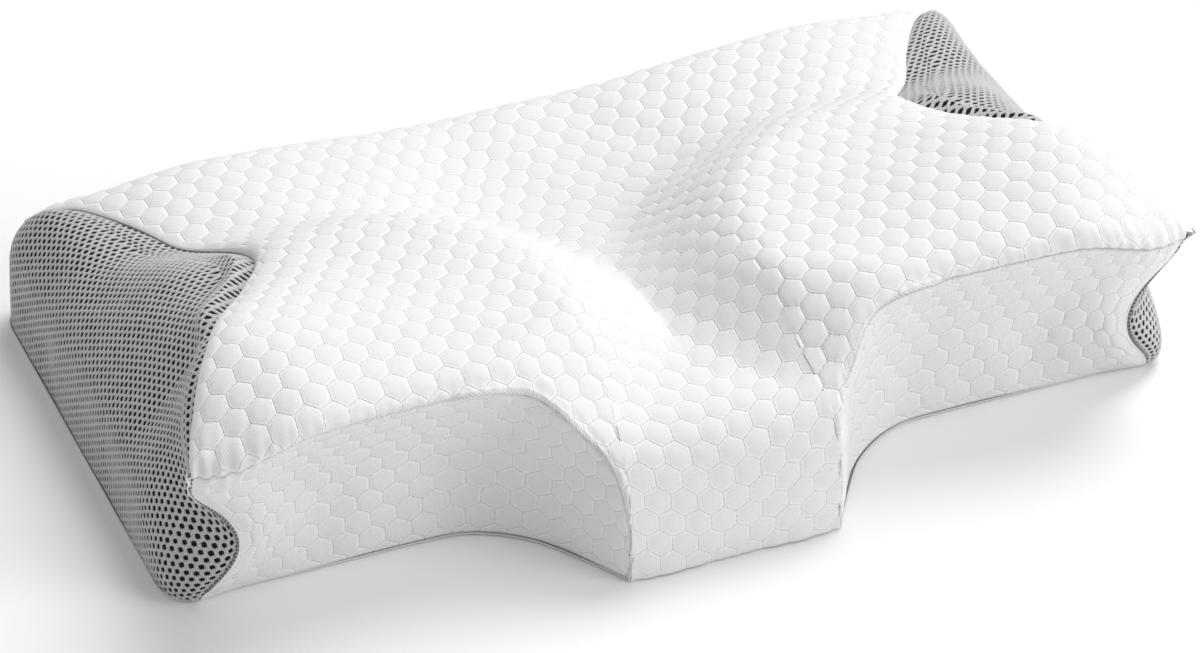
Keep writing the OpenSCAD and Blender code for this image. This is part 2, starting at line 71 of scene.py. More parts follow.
# ---- the pillow's form, in mm
# The same formulas as in the CAD source, at a finer step. A share u runs along the front half from the
# middle of the tongue to the wing's tip, a share v runs from the front to the rear.
FRONT_Y, REAR_Y, CORNER_Y, TIP_Y = -195.0, 191.0, 183.0, -147.0
TONGUE = 2 / 16  # the share of the half front that the tongue takes up
TONGUE_X = 64.0
FRONT_SEAM = np.array([[64, -195], [77, -171], [103, -151], [137, -147], [170, -149], [204, -152],
                       [238, -156], [272, -157], [302, -147]], float)
FRONT_BASE = np.array([[64, -195], [80, -169], [102, -139], [132, -120], [165, -117], [200, -117],
                       [234, -117], [266, -117], [292, -120]], float)
END_SEAM_X = np.array([301, 288, 268, 247, 224, 206, 209, 229, 245, 265, 293], float)
MIDDLE = np.array([84, 87, 91, 88, 84, 78, 75, 77, 82, 84], float)
BASE_CORNER, BASE_END, BASE_REAR, CORNER_R = (292.0, -120.0), 310.0, 293.0, 25.0
FOOT = 8.0  # height of the top's front edge on the tongue
WING_HEIGHT, WING_DOME = 128, 24
EDGE_ROUND, EDGE_DROP = 28, 9
END_UPRIGHT, END_BEND, END_SLOPE, SHOULDER_POWER = 55, 12, 0.69, 5.4
REAR_UPRIGHT, REAR_TURN = 42, 0.57
FRONT_SCOOP, END_SCOOP, CORNER_WAVE, LOBE_DEPTH = 13, 3, 7, 24


def vectors(*parts):
    """Arrays of x, y and z (or of any other parts) put together along a last axis."""
    return np.stack(np.broadcast_arrays(*parts), -1)


def mix(a, b, t):
    return a + (b - a) * t


def smooth(a, b, t):
    s = np.clip((t - a) / (b - a), 0, 1)
    return s * s * (3 - 2 * s)


def roll(t, power):
    """A rounded rise from 0 to 1, steep at first."""
    return (1 - (1 - np.clip(t, 0, 1)) ** power) ** (1 / power)


def curve(values, t):
    """A smooth curve through evenly spaced values, at shares t of its length."""
    last = len(values) - 1
    s = np.clip(t, 0, 1) * last
    i = np.minimum(np.floor(s).astype(int), last - 1)
    f = s - i
    a, b = values[np.maximum(i - 1, 0)], values[i]
    c, d = values[i + 1], values[np.minimum(i + 2, last)]
    if values.ndim == 2:
        f = f[..., None]
    return b + 0.5 * f * ((c - a) + f * ((2 * a - 5 * b + 4 * c - d) + f * (3 * (b - c) + d - a)))


def outline(points, u):
    """The tongue's straight front, then a curve round the shoulder scoop to the wing's tip."""
    on_tongue = vectors(TONGUE_X * np.clip(u / TONGUE, 0, 1), FRONT_Y)
    return np.where((u <= TONGUE)[..., None], on_tongue, curve(points, (u - TONGUE) / (1 - TONGUE)))


def seam_front(u):
    return outline(FRONT_SEAM, u)


def base_front(u):
    return outline(FRONT_BASE, u)


def seam_end(v):
    return vectors(curve(END_SEAM_X, v), mix(TIP_Y, CORNER_Y, v))


def base_end(v):
    y = mix(BASE_CORNER[1], REAR_Y, v)
    a = mix(BASE_CORNER[0], BASE_END, roll((y - BASE_CORNER[1]) / CORNER_R, 2))
    b = mix(BASE_REAR, BASE_END, roll((REAR_Y - y) / CORNER_R, 2))
    return vectors(np.minimum(a, b), y)


def seam_rear(u):
    return vectors(END_SEAM_X[-1] * u, CORNER_Y)


def base_rear(u):
    return vectors(BASE_REAR * u, REAR_Y)


def low_height(x, y):
    """Height of the hollow and the rims, without the wings."""
    middle = curve(MIDDLE, (y - FRONT_Y) / (REAR_Y - FRONT_Y))
    return mix(middle, 95, smooth(15, 190, x)) - 8 * smooth(190, 290, x) * smooth(80, 185, y)


def wing_share(x, y):
    """1 on a wing, 0 away from it."""
    a, b, r = x - 58, 20 - y, 90
    inside = r - np.hypot(np.maximum(r - a, 0), np.maximum(r - b, 0)) + np.maximum(np.minimum(a, b) - r, 0)
    return smooth(-75, 10, inside) * smooth(-45, 35, y + 150 + 0.6 * (x - 95))


def form_height(px, y):
    x = np.abs(px)
    low = low_height(x, y)
    dome = WING_DOME * np.exp(-((x - 262) / 95) ** 2 - ((y + 82) / 64) ** 2)
    wing = WING_HEIGHT + dome - 17 * smooth(225, 305, x) * smooth(60, 150, -y)
    front = roll((y - FRONT_Y) / 45, 3)
    rear = roll((REAR_Y - y) / 40, 2)
    full = FOOT + (low - FOOT) * front + wing_share(x, y) * (wing - low)
    return mix(np.minimum(40, full), full, rear)


def edge_drop(px, y, to_front, to_end):
    """How far the top curves down towards its seams."""
    share = wing_share(np.abs(px), y)
    near = np.minimum(to_end, to_front + (1 - share) * EDGE_ROUND)
    return mix(0.4, 1, share) * EDGE_DROP * (1 - roll(near / EDGE_ROUND, 2))


def top_point(u, v):
    au, side = np.abs(u), np.where(u < 0, -1.0, 1.0)
    f, r, s = seam_front(au), seam_rear(au), seam_end(v)
    tip, corner = seam_end(np.zeros(1)), seam_end(np.ones(1))
    pull = s - (tip + (corner - tip) * v[..., None])
    x = side * mix(f[..., 0], r[..., 0], v) + u * pull[..., 0]
    y = mix(f[..., 1], r[..., 1], v) + pull[..., 1]
    to_front = np.hypot(x - side * f[..., 0], y - f[..., 1])
    to_end = (1 - au) * np.abs(s[..., 0])
    return vectors(x, y, form_height(x, y) - edge_drop(x, y, to_front, to_end))


def outward(path, q):
    """The level direction away from the middle, square to a path."""
    t = path(np.clip(q + 1e-3, 0, 1)) - path(np.clip(q - 1e-3, 0, 1))
    t /= np.linalg.norm(t, axis=-1, keepdims=True)
    return vectors(t[..., 1], -t[..., 0])


def slope_rise(z):
    return (np.sqrt((z - END_UPRIGHT) ** 2 + END_BEND ** 2) + z - END_UPRIGHT) / 2


def end_lean(z, top, reach):
    """Share of the way from an end wall's base to its seam: upright, then a slope and a rounded shoulder."""
    full = slope_rise(top) - slope_rise(0)
    share = np.minimum(1, END_SLOPE * full / np.maximum(reach, 1))
    rounded = 1 - (1 - np.clip(z / top, 0, 1) ** SHOULDER_POWER) ** (1 / SHOULDER_POWER)
    return mix(rounded, (slope_rise(z) - slope_rise(0)) / full, share)


def wall_point(kind, q, f):
    """A point of the right half's front, end or rear wall: q along it, f up it."""
    if kind == "front":
        base, lip, out = base_front(q), top_point(q, 0 * q), outward(base_front, q)
        front, corner, end, rear = smooth(TONGUE, 0.55, q), smooth(0.7, 1, q), 0 * q, 0 * q
        lean = f
    elif kind == "end":
        step = np.arccos(1 - 2 * np.clip(q, 0, 1)) / PI
        base, lip, out = base_end(q), top_point(1 + 0 * q, q), outward(base_end, q)
        front, corner, end, rear = 0 * q, 1 - smooth(0, 0.42, step), np.sin(PI * step), smooth(0.8, 1, step)
        reach = np.hypot(lip[..., 0] - base[..., 0], lip[..., 1] - base[..., 1])
        lean = mix(f, end_lean(f * lip[..., 2], lip[..., 2], reach), smooth(0.02, 0.25, step))
    else:
        base, lip, out = base_rear(q), top_point(q, 1 + 0 * q), vectors(0 * q, 1)
        front, corner, end, rear = 0 * q, 0 * q, 0 * q, 1 + 0 * q
        lean = f
    z = f * lip[..., 2]
    above = np.clip((z - REAR_UPRIGHT) / (lip[..., 2] - REAR_UPRIGHT), 0, 1)
    rear_lean = (1 - np.sqrt(1 - (REAR_TURN * above) ** 2)) / (1 - math.sqrt(1 - REAR_TURN ** 2))
    lean = mix(lean, rear_lean, rear)
    scoop = (FRONT_SCOOP * front * (1 - corner) + END_SCOOP * end * (1 - rear)) * np.sin(PI * f)
    wave = CORNER_WAVE * corner * np.sin(2 * PI * f)
    lobe = -LOBE_DEPTH * corner ** 2 * np.sin(PI * np.minimum(1, f * 1.15)) ** 2
    flat = base + (lip[..., :2] - base) * lean[..., None] + out * (wave - scoop)[..., None]
    return vectors(flat[..., 0] + lobe, flat[..., 1], z)


# ---- grid helpers
def unit(a):
    return a / np.maximum(np.linalg.norm(a, axis=-1, keepdims=True), 1e-9)


def normals(grid):
    du = np.gradient(grid, axis=1)
    dv = np.gradient(grid, axis=0)
    return unit(np.cross(du, dv))


def lengths(grid, axis):
    """Distance along the grid lines, from 0 at the first row or column."""
    step = np.linalg.norm(np.diff(grid, axis=axis), axis=-1)
    first = np.zeros_like(np.take(step, [0], axis=axis))
    return np.concatenate([first, np.cumsum(step, axis=axis)], axis=axis)


def to_ends(grid, axis):
    """Distance along the grid lines to their nearer end."""
    return np.minimum(lengths(grid, axis), np.flip(lengths(np.flip(grid, axis), axis), axis))


def between(table, i, j, a, b):
    """A table's values at rows i + a and columns j + b."""
    return mix(mix(table[i, j], table[i, j + 1], b), mix(table[i + 1, j], table[i + 1, j + 1], b), a)


def ripple(p, scale):
    """Slow, shallow unevenness of hand-filled fabric."""
    x, y, z = p[..., 0], p[..., 1], p[..., 2]
    a = np.sin(x * 0.051 + 1.3 * np.sin(y * 0.023) + z * 0.03) * np.sin(y * 0.043 + 0.7 + x * 0.011)
    b = np.sin(x * 0.117 - y * 0.071 + 2.1) * np.sin(y * 0.131 + z * 0.09 + x * 0.037)
    return scale * (0.7 * a + 0.35 * b)


CELL = 15.6  # width of a quilted cell


def hex_edge(p):
    """Distance to the nearest side of a honeycomb of pointed-top cells, 0.5 at a cell's middle."""
    r = np.array([1.0, math.sqrt(3)])
    a = (np.mod(p / r, 1) - 0.5) * r
    b = (np.mod(p / r + 0.5, 1) - 0.5) * r
    near = (np.linalg.norm(a, axis=-1) < np.linalg.norm(b, axis=-1))[..., None]
    q = np.abs(np.where(near, a, b))
    return 0.5 - np.maximum(q[..., 0], q[..., 0] * 0.5 + q[..., 1] * math.sqrt(3) / 2)


def quilt(pattern, to_edge, height):
    """Height of the puffed cells above their stitched lines."""
    e = hex_edge(pattern / CELL)
    puff = 1 - (1 - np.clip(e / 0.2, 0, 1)) ** 2.4
    crown = 1 - (1 - np.clip(e / 0.5, 0, 1)) ** 2
    return height * (0.6 * puff + 0.4 * crown) * smooth(1.5, 11, to_edge)


# ---- meshes
def new_piece(name, verts, faces, uv=None, attributes=None):
    """A mesh piece from points in mm, with an optional pattern map in 100 mm units."""
    mesh = bpy.data.meshes.new(name)
    mesh.from_pydata((verts / 1000).tolist(), [], faces.tolist() if hasattr(faces, "tolist") else faces)
    mesh.update()
    if uv is not None:
        layer = mesh.uv_layers.new(name="pattern")
        index = np.empty(len(mesh.loops), np.int32)
        mesh.loops.foreach_get("vertex_index", index)
        layer.data.foreach_set("uv", (uv[index] / 100).astype(np.float32).ravel())
    for key, values in (attributes or {}).items():
        layer = mesh.attributes.new(key, "FLOAT", "POINT")
        layer.data.foreach_set("value", np.asarray(values, np.float32))
    mesh.shade_smooth()
    return placed(name, mesh)


def grid_faces(rows, columns, flip=False):
    i = np.arange(rows - 1)[:, None] * columns + np.arange(columns - 1)[None]
    quads = vectors(i, i + 1, i + columns + 1, i + columns).reshape(-1, 4)
    return quads[:, ::-1] if flip else quads


def grid_piece(name, grid, uv, flip=False):
    return new_piece(name, grid.reshape(-1, 3), grid_faces(*grid.shape[:2], flip), uv.reshape(-1, 2))


def closed_tube(count, sides):
    """Faces of count rings of points, joined one to the next and closed at both ends."""
    i = np.arange(count - 1)[:, None] * sides + np.arange(sides)[None]
    j = np.arange(count - 1)[:, None] * sides + (np.arange(sides)[None] + 1) % sides
    faces = vectors(i, j, j + sides, i + sides).reshape(-1, 4).tolist()
    return faces + [list(range(sides))[::-1], list(range((count - 1) * sides, count * sides))]


def mirrored(grid):
    return grid * np.array([-1.0, 1, 1])


def tube(name, line, radius, sides=10, wobble=0.0, side=(0.05, 0.04, 1.0)):
    """A cord along a line, with its ends closed. The radius may change along it, and side must not point
    along the line."""
    t = unit(np.gradient(line, axis=0))
    a = unit(np.cross(t, side))
    b = np.cross(a, t)
    along = lengths(line[:, None], 0)[:, 0]
    angle = 2 * PI * np.arange(sides)[None] / sides + 0 * along[:, None]
    radius = radius + 0 * along
    size = radius[:, None] * (1 + wobble * np.sin(along[:, None] * 2.3 + 2 * angle))
    ring = line[:, None] + size[..., None] * (np.cos(angle)[..., None] * a[:, None]
                                               + np.sin(angle)[..., None] * b[:, None])
    count = len(line)
    uv = vectors(np.repeat(along, sides), np.tile(np.arange(sides) * radius[0], count))
    return new_piece(name, ring.reshape(-1, 3), closed_tube(count, sides), uv)


def spread(values, rows, columns):
    """A coarse grid of values carried smoothly to a finer one, whose lines lie at the shares given."""
    return curve(curve(values, rows).T.copy(), columns).T


def even_lines(grid, axis, step):
    """Indices of grid lines that lie about step mm apart, and the share along them of every line."""
    along = lengths(grid, axis).mean(1 - axis)
    wanted = np.linspace(0, along[-1], int(along[-1] / step) + 1)
    picked = np.unique(np.abs(along[:, None] - wanted[None]).argmin(0))
    return picked, np.interp(along, along[picked], np.linspace(0, 1, len(picked)))


CLOTH_FRAMES = 20


def relax(grid, sewn, push, spare, cap, step=10.0):
    """How far a panel of slightly roomy cloth lifts off what it covers, held at its sewn points: a cloth
    simulation of a coarse copy, in mm along the normals, and at most cap."""
    (i, down), (j, across) = even_lines(grid, 0, step), even_lines(grid, 1, step)
    coarse = grid[np.ix_(i, j)]
    obj = new_piece("relaxing", coarse.reshape(-1, 3), grid_faces(len(i), len(j)))
    obj.vertex_groups.new(name="sewn").add(np.nonzero(sewn[np.ix_(i, j)].ravel())[0].tolist(), 1.0, "REPLACE")
    cloth = obj.modifiers.new("cloth", "CLOTH")
    cloth.collision_settings.use_collision = False
    cloth.point_cache.frame_end = CLOTH_FRAMES
    fabric = cloth.settings
    fabric.quality = 6
    fabric.vertex_group_mass = "sewn"
    fabric.shrink_min = -spare
    fabric.bending_stiffness = 0.3
    fabric.use_pressure = True
    fabric.uniform_pressure_force = push
    fabric.effector_weights.gravity = 0
    for number in range(1, CLOTH_FRAMES + 1):
        bpy.context.scene.frame_set(number)
    shape = obj.evaluated_get(bpy.context.evaluated_depsgraph_get()).data
    moved = np.empty(coarse.size, np.float32)
    shape.vertices.foreach_get("co", moved)
    moved = moved.reshape(coarse.shape) * 1000 - coarse
    bpy.context.scene.frame_set(1)
    mesh = obj.data
    bpy.data.objects.remove(obj)
    bpy.data.meshes.remove(mesh)
    lift = np.sum(moved * normals(coarse), -1)
    for _ in range(2):
        for axis in (0, 1):
            lift = np.swapaxes(lift, 0, axis)
            lift[1:-1] = (lift[:-2] + 2 * lift[1:-1] + lift[2:]) / 4
            lift = np.swapaxes(lift, 0, axis)
    lift = cap * np.tanh(np.maximum(lift, -0.4 * cap) / cap)
    return spread(lift, down, across)


def border(grid):
    """True on the edges of a grid."""
    held = np.ones(grid.shape[:2], bool)
    held[1:-1, 1:-1] = False
    return held


# ---- shared materials
class Graph:
    """Short ways to add and join shader nodes."""

    def __init__(self, name):
        self.material = bpy.data.materials.new(name)
        self.material.use_nodes = True
        self.tree = self.material.node_tree
        self.tree.nodes.clear()
        self.shader = self.tree.nodes.new("ShaderNodeBsdfPrincipled")
        out = self.tree.nodes.new("ShaderNodeOutputMaterial")
        self.tree.links.new(self.shader.outputs[0], out.inputs[0])

    def node(self, kind, inputs=(), **settings):
        n = self.tree.nodes.new("ShaderNode" + kind)
        for key, value in settings.items():
            setattr(n, key, value)
        for key, value in dict(inputs).items():
            self.put(n.inputs[key], value)
        return n

    def put(self, socket, value):
        if isinstance(value, bpy.types.NodeSocket):
            self.tree.links.new(value, socket)
        else:
            socket.default_value = value

    def math(self, kind, a, b=0.0, c=0.0):
        return self.node("Math", {0: a, 1: b, 2: c}, operation=kind).outputs[0]

    def add(self, a, b):
        return self.math("ADD", a, b)

    def times(self, a, b):
        return self.math("MULTIPLY", a, b)

    def vector(self, kind, a, b=(0, 0, 0)):
        n = self.node("VectorMath", {0: a, 1: b}, operation=kind)
        return n.outputs["Value"] if kind in ("LENGTH", "DOT_PRODUCT") else n.outputs["Vector"]

    def ramp(self, value, low, high, to_low=0.0, to_high=1.0):
        return self.node("MapRange", {0: value, 1: low, 2: high, 3: to_low, 4: to_high},
                         interpolation_type="SMOOTHSTEP").outputs[0]

    def over_noise(self, noise, to_low, to_high):
        """A noise's usual range carried to the one given."""
        return self.ramp(noise, 0.3, 0.7, to_low, to_high)

    def colour(self, share, a, b):
        n = self.node("Mix", data_type="RGBA")
        self.put(n.inputs[0], share)
        self.put(n.inputs[6], (*a, 1) if isinstance(a, tuple) else a)
        self.put(n.inputs[7], (*b, 1) if isinstance(b, tuple) else b)
        return n.outputs[2]

    def noise(self, vector, scale, detail=2.0, rough=0.5):
        return self.node("TexNoise", {"Vector": vector, "Scale": scale, "Detail": detail,
                                      "Roughness": rough}).outputs[0]

    def bump(self, height, distance, strength):
        return self.node("Bump", {"Height": height, "Distance": distance, "Strength": strength}).outputs[0]

    def set(self, **values):
        names = {"colour": "Base Color", "rough": "Roughness", "normal": "Normal", "metal": "Metallic",
                 "sheen": "Sheen Weight", "sheen_rough": "Sheen Roughness", "specular": "Specular IOR Level"}
        for key, value in values.items():
            self.put(self.shader.inputs[names[key]], (*value, 1) if isinstance(value, tuple) else value)
        return self.material

    def woven(self, colour, rough, height, distance, strength, sheen=0.1, specular=0.2):
        """Sets what a fabric or foam needs; height is its relief, in units of distance metres."""
        return self.set(colour=colour, rough=rough, sheen=sheen, specular=specular,
                        normal=self.bump(height, distance, strength))

    def pattern(self):
        """The fabric's own map in mm."""
        return self.vector("MULTIPLY", self.node("UVMap", uv_map="pattern").outputs[0], (100, 100, 100))

    def object_mm(self):
        """The place on the object in mm."""
        return self.vector("MULTIPLY", self.node("TexCoord").outputs["Object"], (1000, 1000, 1000))


def honeycomb(g, mm):
    """The same cells as hex_edge draws, as a shader value."""
    r = (1.0, math.sqrt(3), 1.0)
    p = g.vector("DIVIDE", g.vector("MULTIPLY", mm, (1 / CELL, 1 / CELL, 0)), r)
    half = (0.5, 0.5, 0)
    a = g.vector("MULTIPLY", g.vector("SUBTRACT", g.vector("FRACTION", p), half), r)
    b = g.vector("MULTIPLY", g.vector("SUBTRACT", g.vector("FRACTION", g.vector("ADD", p, half)), half), r)
    first = g.math("LESS_THAN", g.vector("LENGTH", a), g.vector("LENGTH", b))
    pick = g.node("Mix", data_type="VECTOR")
    g.put(pick.inputs[0], first)
    g.put(pick.inputs[4], b)
    g.put(pick.inputs[5], a)
    q = g.node("SeparateXYZ", {0: g.vector("ABSOLUTE", pick.outputs[1])})
    slope = g.add(g.times(q.outputs[0], 0.5), g.times(q.outputs[1], math.sqrt(3) / 2))
    return g.math("SUBTRACT", 0.5, g.math("MAXIMUM", q.outputs[0], slope))


def wave(g, mm, across, period, phase=0.0):
    """A soft ridge every period mm along a direction."""
    d = g.vector("DOT_PRODUCT", mm, (*across, 0))
    return g.math("SINE", g.math("MULTIPLY_ADD", d, 2 * PI / period, phase))


def quilted_knit():
    """White quilted knit: matt discs coloured darker as painted shade, borders left paler as painted light,
    and a stitched groove between the cells with a thin line of painted shade in it.
    """
    g = Graph("quilted_knit")
    mm = g.pattern()
    e = honeycomb(g, mm)
    groove = g.ramp(e, 0.0, 0.05, 1, 0)
    crossing = g.add(wave(g, mm, (1, 0.58), 2.1), wave(g, mm, (-1, 0.58), 2.1, 1.0))
    stitch = g.times(g.ramp(e, 0.02, 0.075, 1, 0), g.ramp(crossing, 0.3, 1.3))
    ribs = wave(g, mm, (0.94, 0.34), 1.35)
    courses = wave(g, mm, (-0.34, 0.94), 1.05)
    cloud = g.noise(mm, 0.05, 3)
    fuzz = g.noise(mm, 2.4, 2)
    fine = g.add(g.times(ribs, 0.5), g.times(courses, 0.3))
    fine = g.add(fine, g.times(fuzz, 0.8))
    relief = g.math("SUBTRACT", g.times(fine, 0.07), g.times(groove, 0.45))
    relief = g.add(relief, g.times(stitch, 0.22))
    # painted shade: the middle of each cell is coloured darker than its border, which stays paler as painted
    # light
    painted_disc_shade = g.ramp(e, 0.05, 0.12)
    base = g.colour(painted_disc_shade, (0.90, 0.90, 0.90), (0.815, 0.818, 0.815))
    base = g.colour(g.times(cloud, 0.2), base, (0.70, 0.70, 0.71))
    # painted shade: a thin greyer line along the bottom of each groove
    base = g.colour(g.times(g.ramp(e, 0.0, 0.022, 1, 0), 0.5), base, (0.62, 0.625, 0.635))
    base = g.colour(g.times(stitch, 0.5), base, (0.95, 0.95, 0.95))
    rough = g.over_noise(fuzz, 0.82, 0.95)
    return g.set(colour=base, rough=rough, sheen=0.12, sheen_rough=0.5, specular=0.25,
                 normal=g.bump(relief, 0.001, 0.8))


def plain_knit():
    """Plain white knit of the bottom panel."""
    g = Graph("plain_knit")
    mm = g.pattern()
    ribs = wave(g, mm, (1, 0), 1.5)
    courses = wave(g, mm, (0.5, 0.87), 1.2)
    fuzz = g.noise(mm, 1.8, 3)
    height = g.add(g.times(g.times(ribs, courses), 0.5), fuzz)
    base = g.colour(fuzz, (0.80, 0.805, 0.81), (0.68, 0.685, 0.69))
    return g.woven(base, g.over_noise(fuzz, 0.85, 0.96), height, 0.0003, 0.6)


def spacer_mesh():
    """Grey yarns round cells that are coloured darker with their depth, down to near black: painted shade in
    the holes.
    """
    g = Graph("spacer_mesh")
    mm = g.pattern()
    depth = g.node("Attribute", attribute_name="depth").outputs["Fac"]
    strands = g.add(wave(g, mm, (0.9, 0.45), 0.8), wave(g, mm, (-0.5, 0.86), 0.7))
    fuzz = g.noise(mm, 3.0, 2)
    light = g.colour(g.ramp(g.add(strands, fuzz), -1.0, 2.2), (0.42, 0.42, 0.43), (0.74, 0.74, 0.75))
    # painted shade: the deeper a point of a cell, the closer its colour comes to black
    base = g.colour(g.ramp(depth, 0.2, 0.7), light, (0.012, 0.012, 0.013))
    return g.woven(base, 0.8, g.add(g.times(strands, 0.4), fuzz), 0.00018, 0.8, sheen=0.15, specular=0.3)


def welt(name, period, painted_shade):
    """Knit over a cord, with the ticks of its stitches: white, or near black with painted shade for the edge
    of the mesh where it meets the white cover.
    """
    g = Graph(name)
    mm = g.pattern()
    ticks = wave(g, mm, (1, 0.9), period)
    fuzz = g.noise(mm, 2.5, 2)
    uneven = g.add(ticks, fuzz)
    # painted shade: the mesh's edge welts are coloured near black for the shade in the crease beside the
    # white cover
    if painted_shade:
        base = g.colour(g.ramp(uneven, 0.0, 1.2), (0.12, 0.12, 0.125), (0.34, 0.34, 0.35))
    else:
        base = g.colour(g.ramp(ticks, -0.2, 0.8), (0.84, 0.84, 0.845), (0.66, 0.66, 0.67))
    rough = g.over_noise(fuzz, 0.75, 0.92) if painted_shade else g.over_noise(fuzz, 0.8, 0.95)
    return g.woven(base, rough, uneven, 0.00025, 0.7, sheen=0.15 if painted_shade else 0.1, specular=0.25)


def memory_foam():
    """Open-cell foam: fine pores with a few larger ones, cream and a little uneven."""
    g = Graph("memory_foam")
    mm = g.object_mm()
    cells = g.node("TexVoronoi", {"Vector": mm, "Scale": 1.1}).outputs["Distance"]
    large = g.node("TexVoronoi", {"Vector": mm, "Scale": 0.16}).outputs["Distance"]
    pores = g.add(g.ramp(cells, 0.0, 0.4), g.ramp(large, 0.02, 0.12))
    cloud = g.noise(mm, 0.03, 3)
    base = g.colour(cloud, (0.86, 0.83, 0.74), (0.80, 0.75, 0.63))
    # painted shade: the pores are coloured a darker brown-cream than the foam round them
    base = g.colour(g.ramp(pores, 0.3, 1.4), (0.62, 0.56, 0.44), base)
    return g.woven(base, g.over_noise(cloud, 0.85, 0.97), pores, 0.0004, 0.6)


def liner_knit():
    """Thin white jersey: columns of small loops."""
    g = Graph("liner_knit")
    mm = g.object_mm()
    loops = g.times(wave(g, mm, (1, 0.02), 0.9), wave(g, mm, (0.3, 0.95), 1.1))
    fuzz = g.noise(mm, 1.5, 3)
    base = g.colour(fuzz, (0.84, 0.84, 0.83), (0.74, 0.74, 0.73))
    return g.woven(base, g.over_noise(fuzz, 0.85, 0.96), g.add(loops, fuzz), 0.0002, 0.6)


def tape_weave():
    """A herringbone woven tape."""
    g = Graph("tape_weave")
    mm = g.object_mm()
    parts = g.node("SeparateXYZ", {0: mm})
    zigzag = g.math("PINGPONG", parts.outputs[2], 0.75)
    twill = g.math("SINE", g.times(g.add(parts.outputs[0], zigzag), 2 * PI / 0.7))
    fuzz = g.noise(mm, 2.0, 2)
    base = g.colour(g.ramp(g.add(twill, fuzz), -0.6, 1.6), (0.66, 0.66, 0.66), (0.86, 0.86, 0.86))
    return g.woven(base, g.over_noise(fuzz, 0.75, 0.9), g.add(twill, fuzz), 0.00015, 0.7, specular=0.3)


def coil_nylon():
    """Slightly glossy nylon with faint drawing lines."""
    g = Graph("coil_nylon")
    mm = g.object_mm()
    lines = g.noise(g.vector("MULTIPLY", mm, (0.4, 6, 6)), 1.0, 2)
    base = g.colour(lines, (0.86, 0.86, 0.85), (0.76, 0.76, 0.75))
    return g.set(colour=base, rough=g.over_noise(lines, 0.32, 0.48), specular=0.5,
                 normal=g.bump(lines, 0.00005, 0.5))


def cast_nickel():
    """Tumbled nickel-plated zinc: bright, with soft spots and fine scratches."""
    g = Graph("cast_nickel")
    mm = g.object_mm()
    spots = g.noise(mm, 0.5, 3)
    scratches = g.noise(g.vector("MULTIPLY", mm, (1, 14, 14)), 1.0, 2)
    base = g.colour(spots, (0.68, 0.68, 0.67), (0.56, 0.56, 0.56))
    rough = g.add(g.over_noise(spots, 0.24, 0.36), g.times(scratches, 0.1))
    return g.set(colour=base, rough=rough, metal=1.0, normal=g.bump(scratches, 0.00003, 0.5))


def satin_label():
    """Blank woven satin with a stitched border."""
    g = Graph("satin_label")
    mm = g.pattern()
    weft = wave(g, mm, (0, 1), 0.45)
    parts = g.node("SeparateXYZ", {0: mm})
    rim = g.math("MAXIMUM", g.math("ABSOLUTE", g.math("DIVIDE", parts.outputs[0], 17.0)),
                 g.math("ABSOLUTE", g.math("DIVIDE", parts.outputs[1], 7.0)))
    stitch = g.times(g.ramp(rim, 0.84, 0.88), g.ramp(wave(g, mm, (1, 1), 2.4), -0.2, 0.4))
    fuzz = g.noise(mm, 1.2, 2)
    base = g.colour(fuzz, (0.90, 0.90, 0.89), (0.82, 0.82, 0.81))
    base = g.colour(g.times(stitch, 0.6), base, (0.62, 0.62, 0.62))
    height = g.add(g.times(weft, 0.3), stitch)
    return g.woven(base, g.over_noise(fuzz, 0.45, 0.6), height, 0.00015, 0.6, sheen=0.15, specular=0.4)


# ---- finer steps along the edges
def u_steps(count, extra, reach):
    """Shares along the half front: even steps, with closer ones just past the tongue's corner."""
    even = np.linspace(0, 1, count)
    close = TONGUE + reach * (np.arange(0, extra + 1) / extra) ** 3
    keep = even[(even <= TONGUE) | (even > TONGUE + reach)]
    return np.unique(np.concatenate([keep, close]))


def v_steps(count, extra, reach):
    """Shares from front to rear: nearly even steps, with closer ones at the front edge."""
    eased = 0.5 - 0.5 * np.cos(PI * np.linspace(0, 1, count))
    even = mix(eased, np.linspace(0, 1, count), 0.75)
    close = reach * (np.arange(0, extra + 1) / extra) ** 3
    keep = even[even > reach]
    return np.concatenate([close, keep])


half_u = u_steps(172, 14, 0.03)
all_u = np.concatenate([-half_u[:0:-1], half_u])
all_v = v_steps(236, 16, 0.03)


def pattern_of_top(p):
    """Distances over the surface from its middle, along X and along Y, at each point."""
    ny, nx = 700, 260
    t = np.linspace(-1, 1, ny)
    y = np.where(t < 0, mix(-60, FRONT_Y, 1 - (1 + t) ** 3), mix(-60, REAR_Y, 1 - (1 - t) ** 3))
    x = np.linspace(0, 312, nx)
    gx, gy = np.meshgrid(x, y)
    surface = vectors(gx, gy, form_height(gx, gy))
    along_y = lengths(surface, 0)
    along_y = along_y - along_y[ny // 2]
    along_x = lengths(surface, 1)
    px, py = np.abs(p[..., 0]), np.clip(p[..., 1], FRONT_Y, REAR_Y)
    row = np.interp(py, y, np.arange(ny))
    col = np.clip(px / 312 * (nx - 1), 0, nx - 1.001)
    i, j = np.minimum(row.astype(int), ny - 2), col.astype(int)
    a, b = row - i, col - j

    return np.stack([between(along_x, i, j, a, b) * np.where(p[..., 0] < 0, -1, 1),
                     between(along_y, i, j, a, b)], -1)


ROLL_STEPS, ROLL_TURN = 5, 2.5


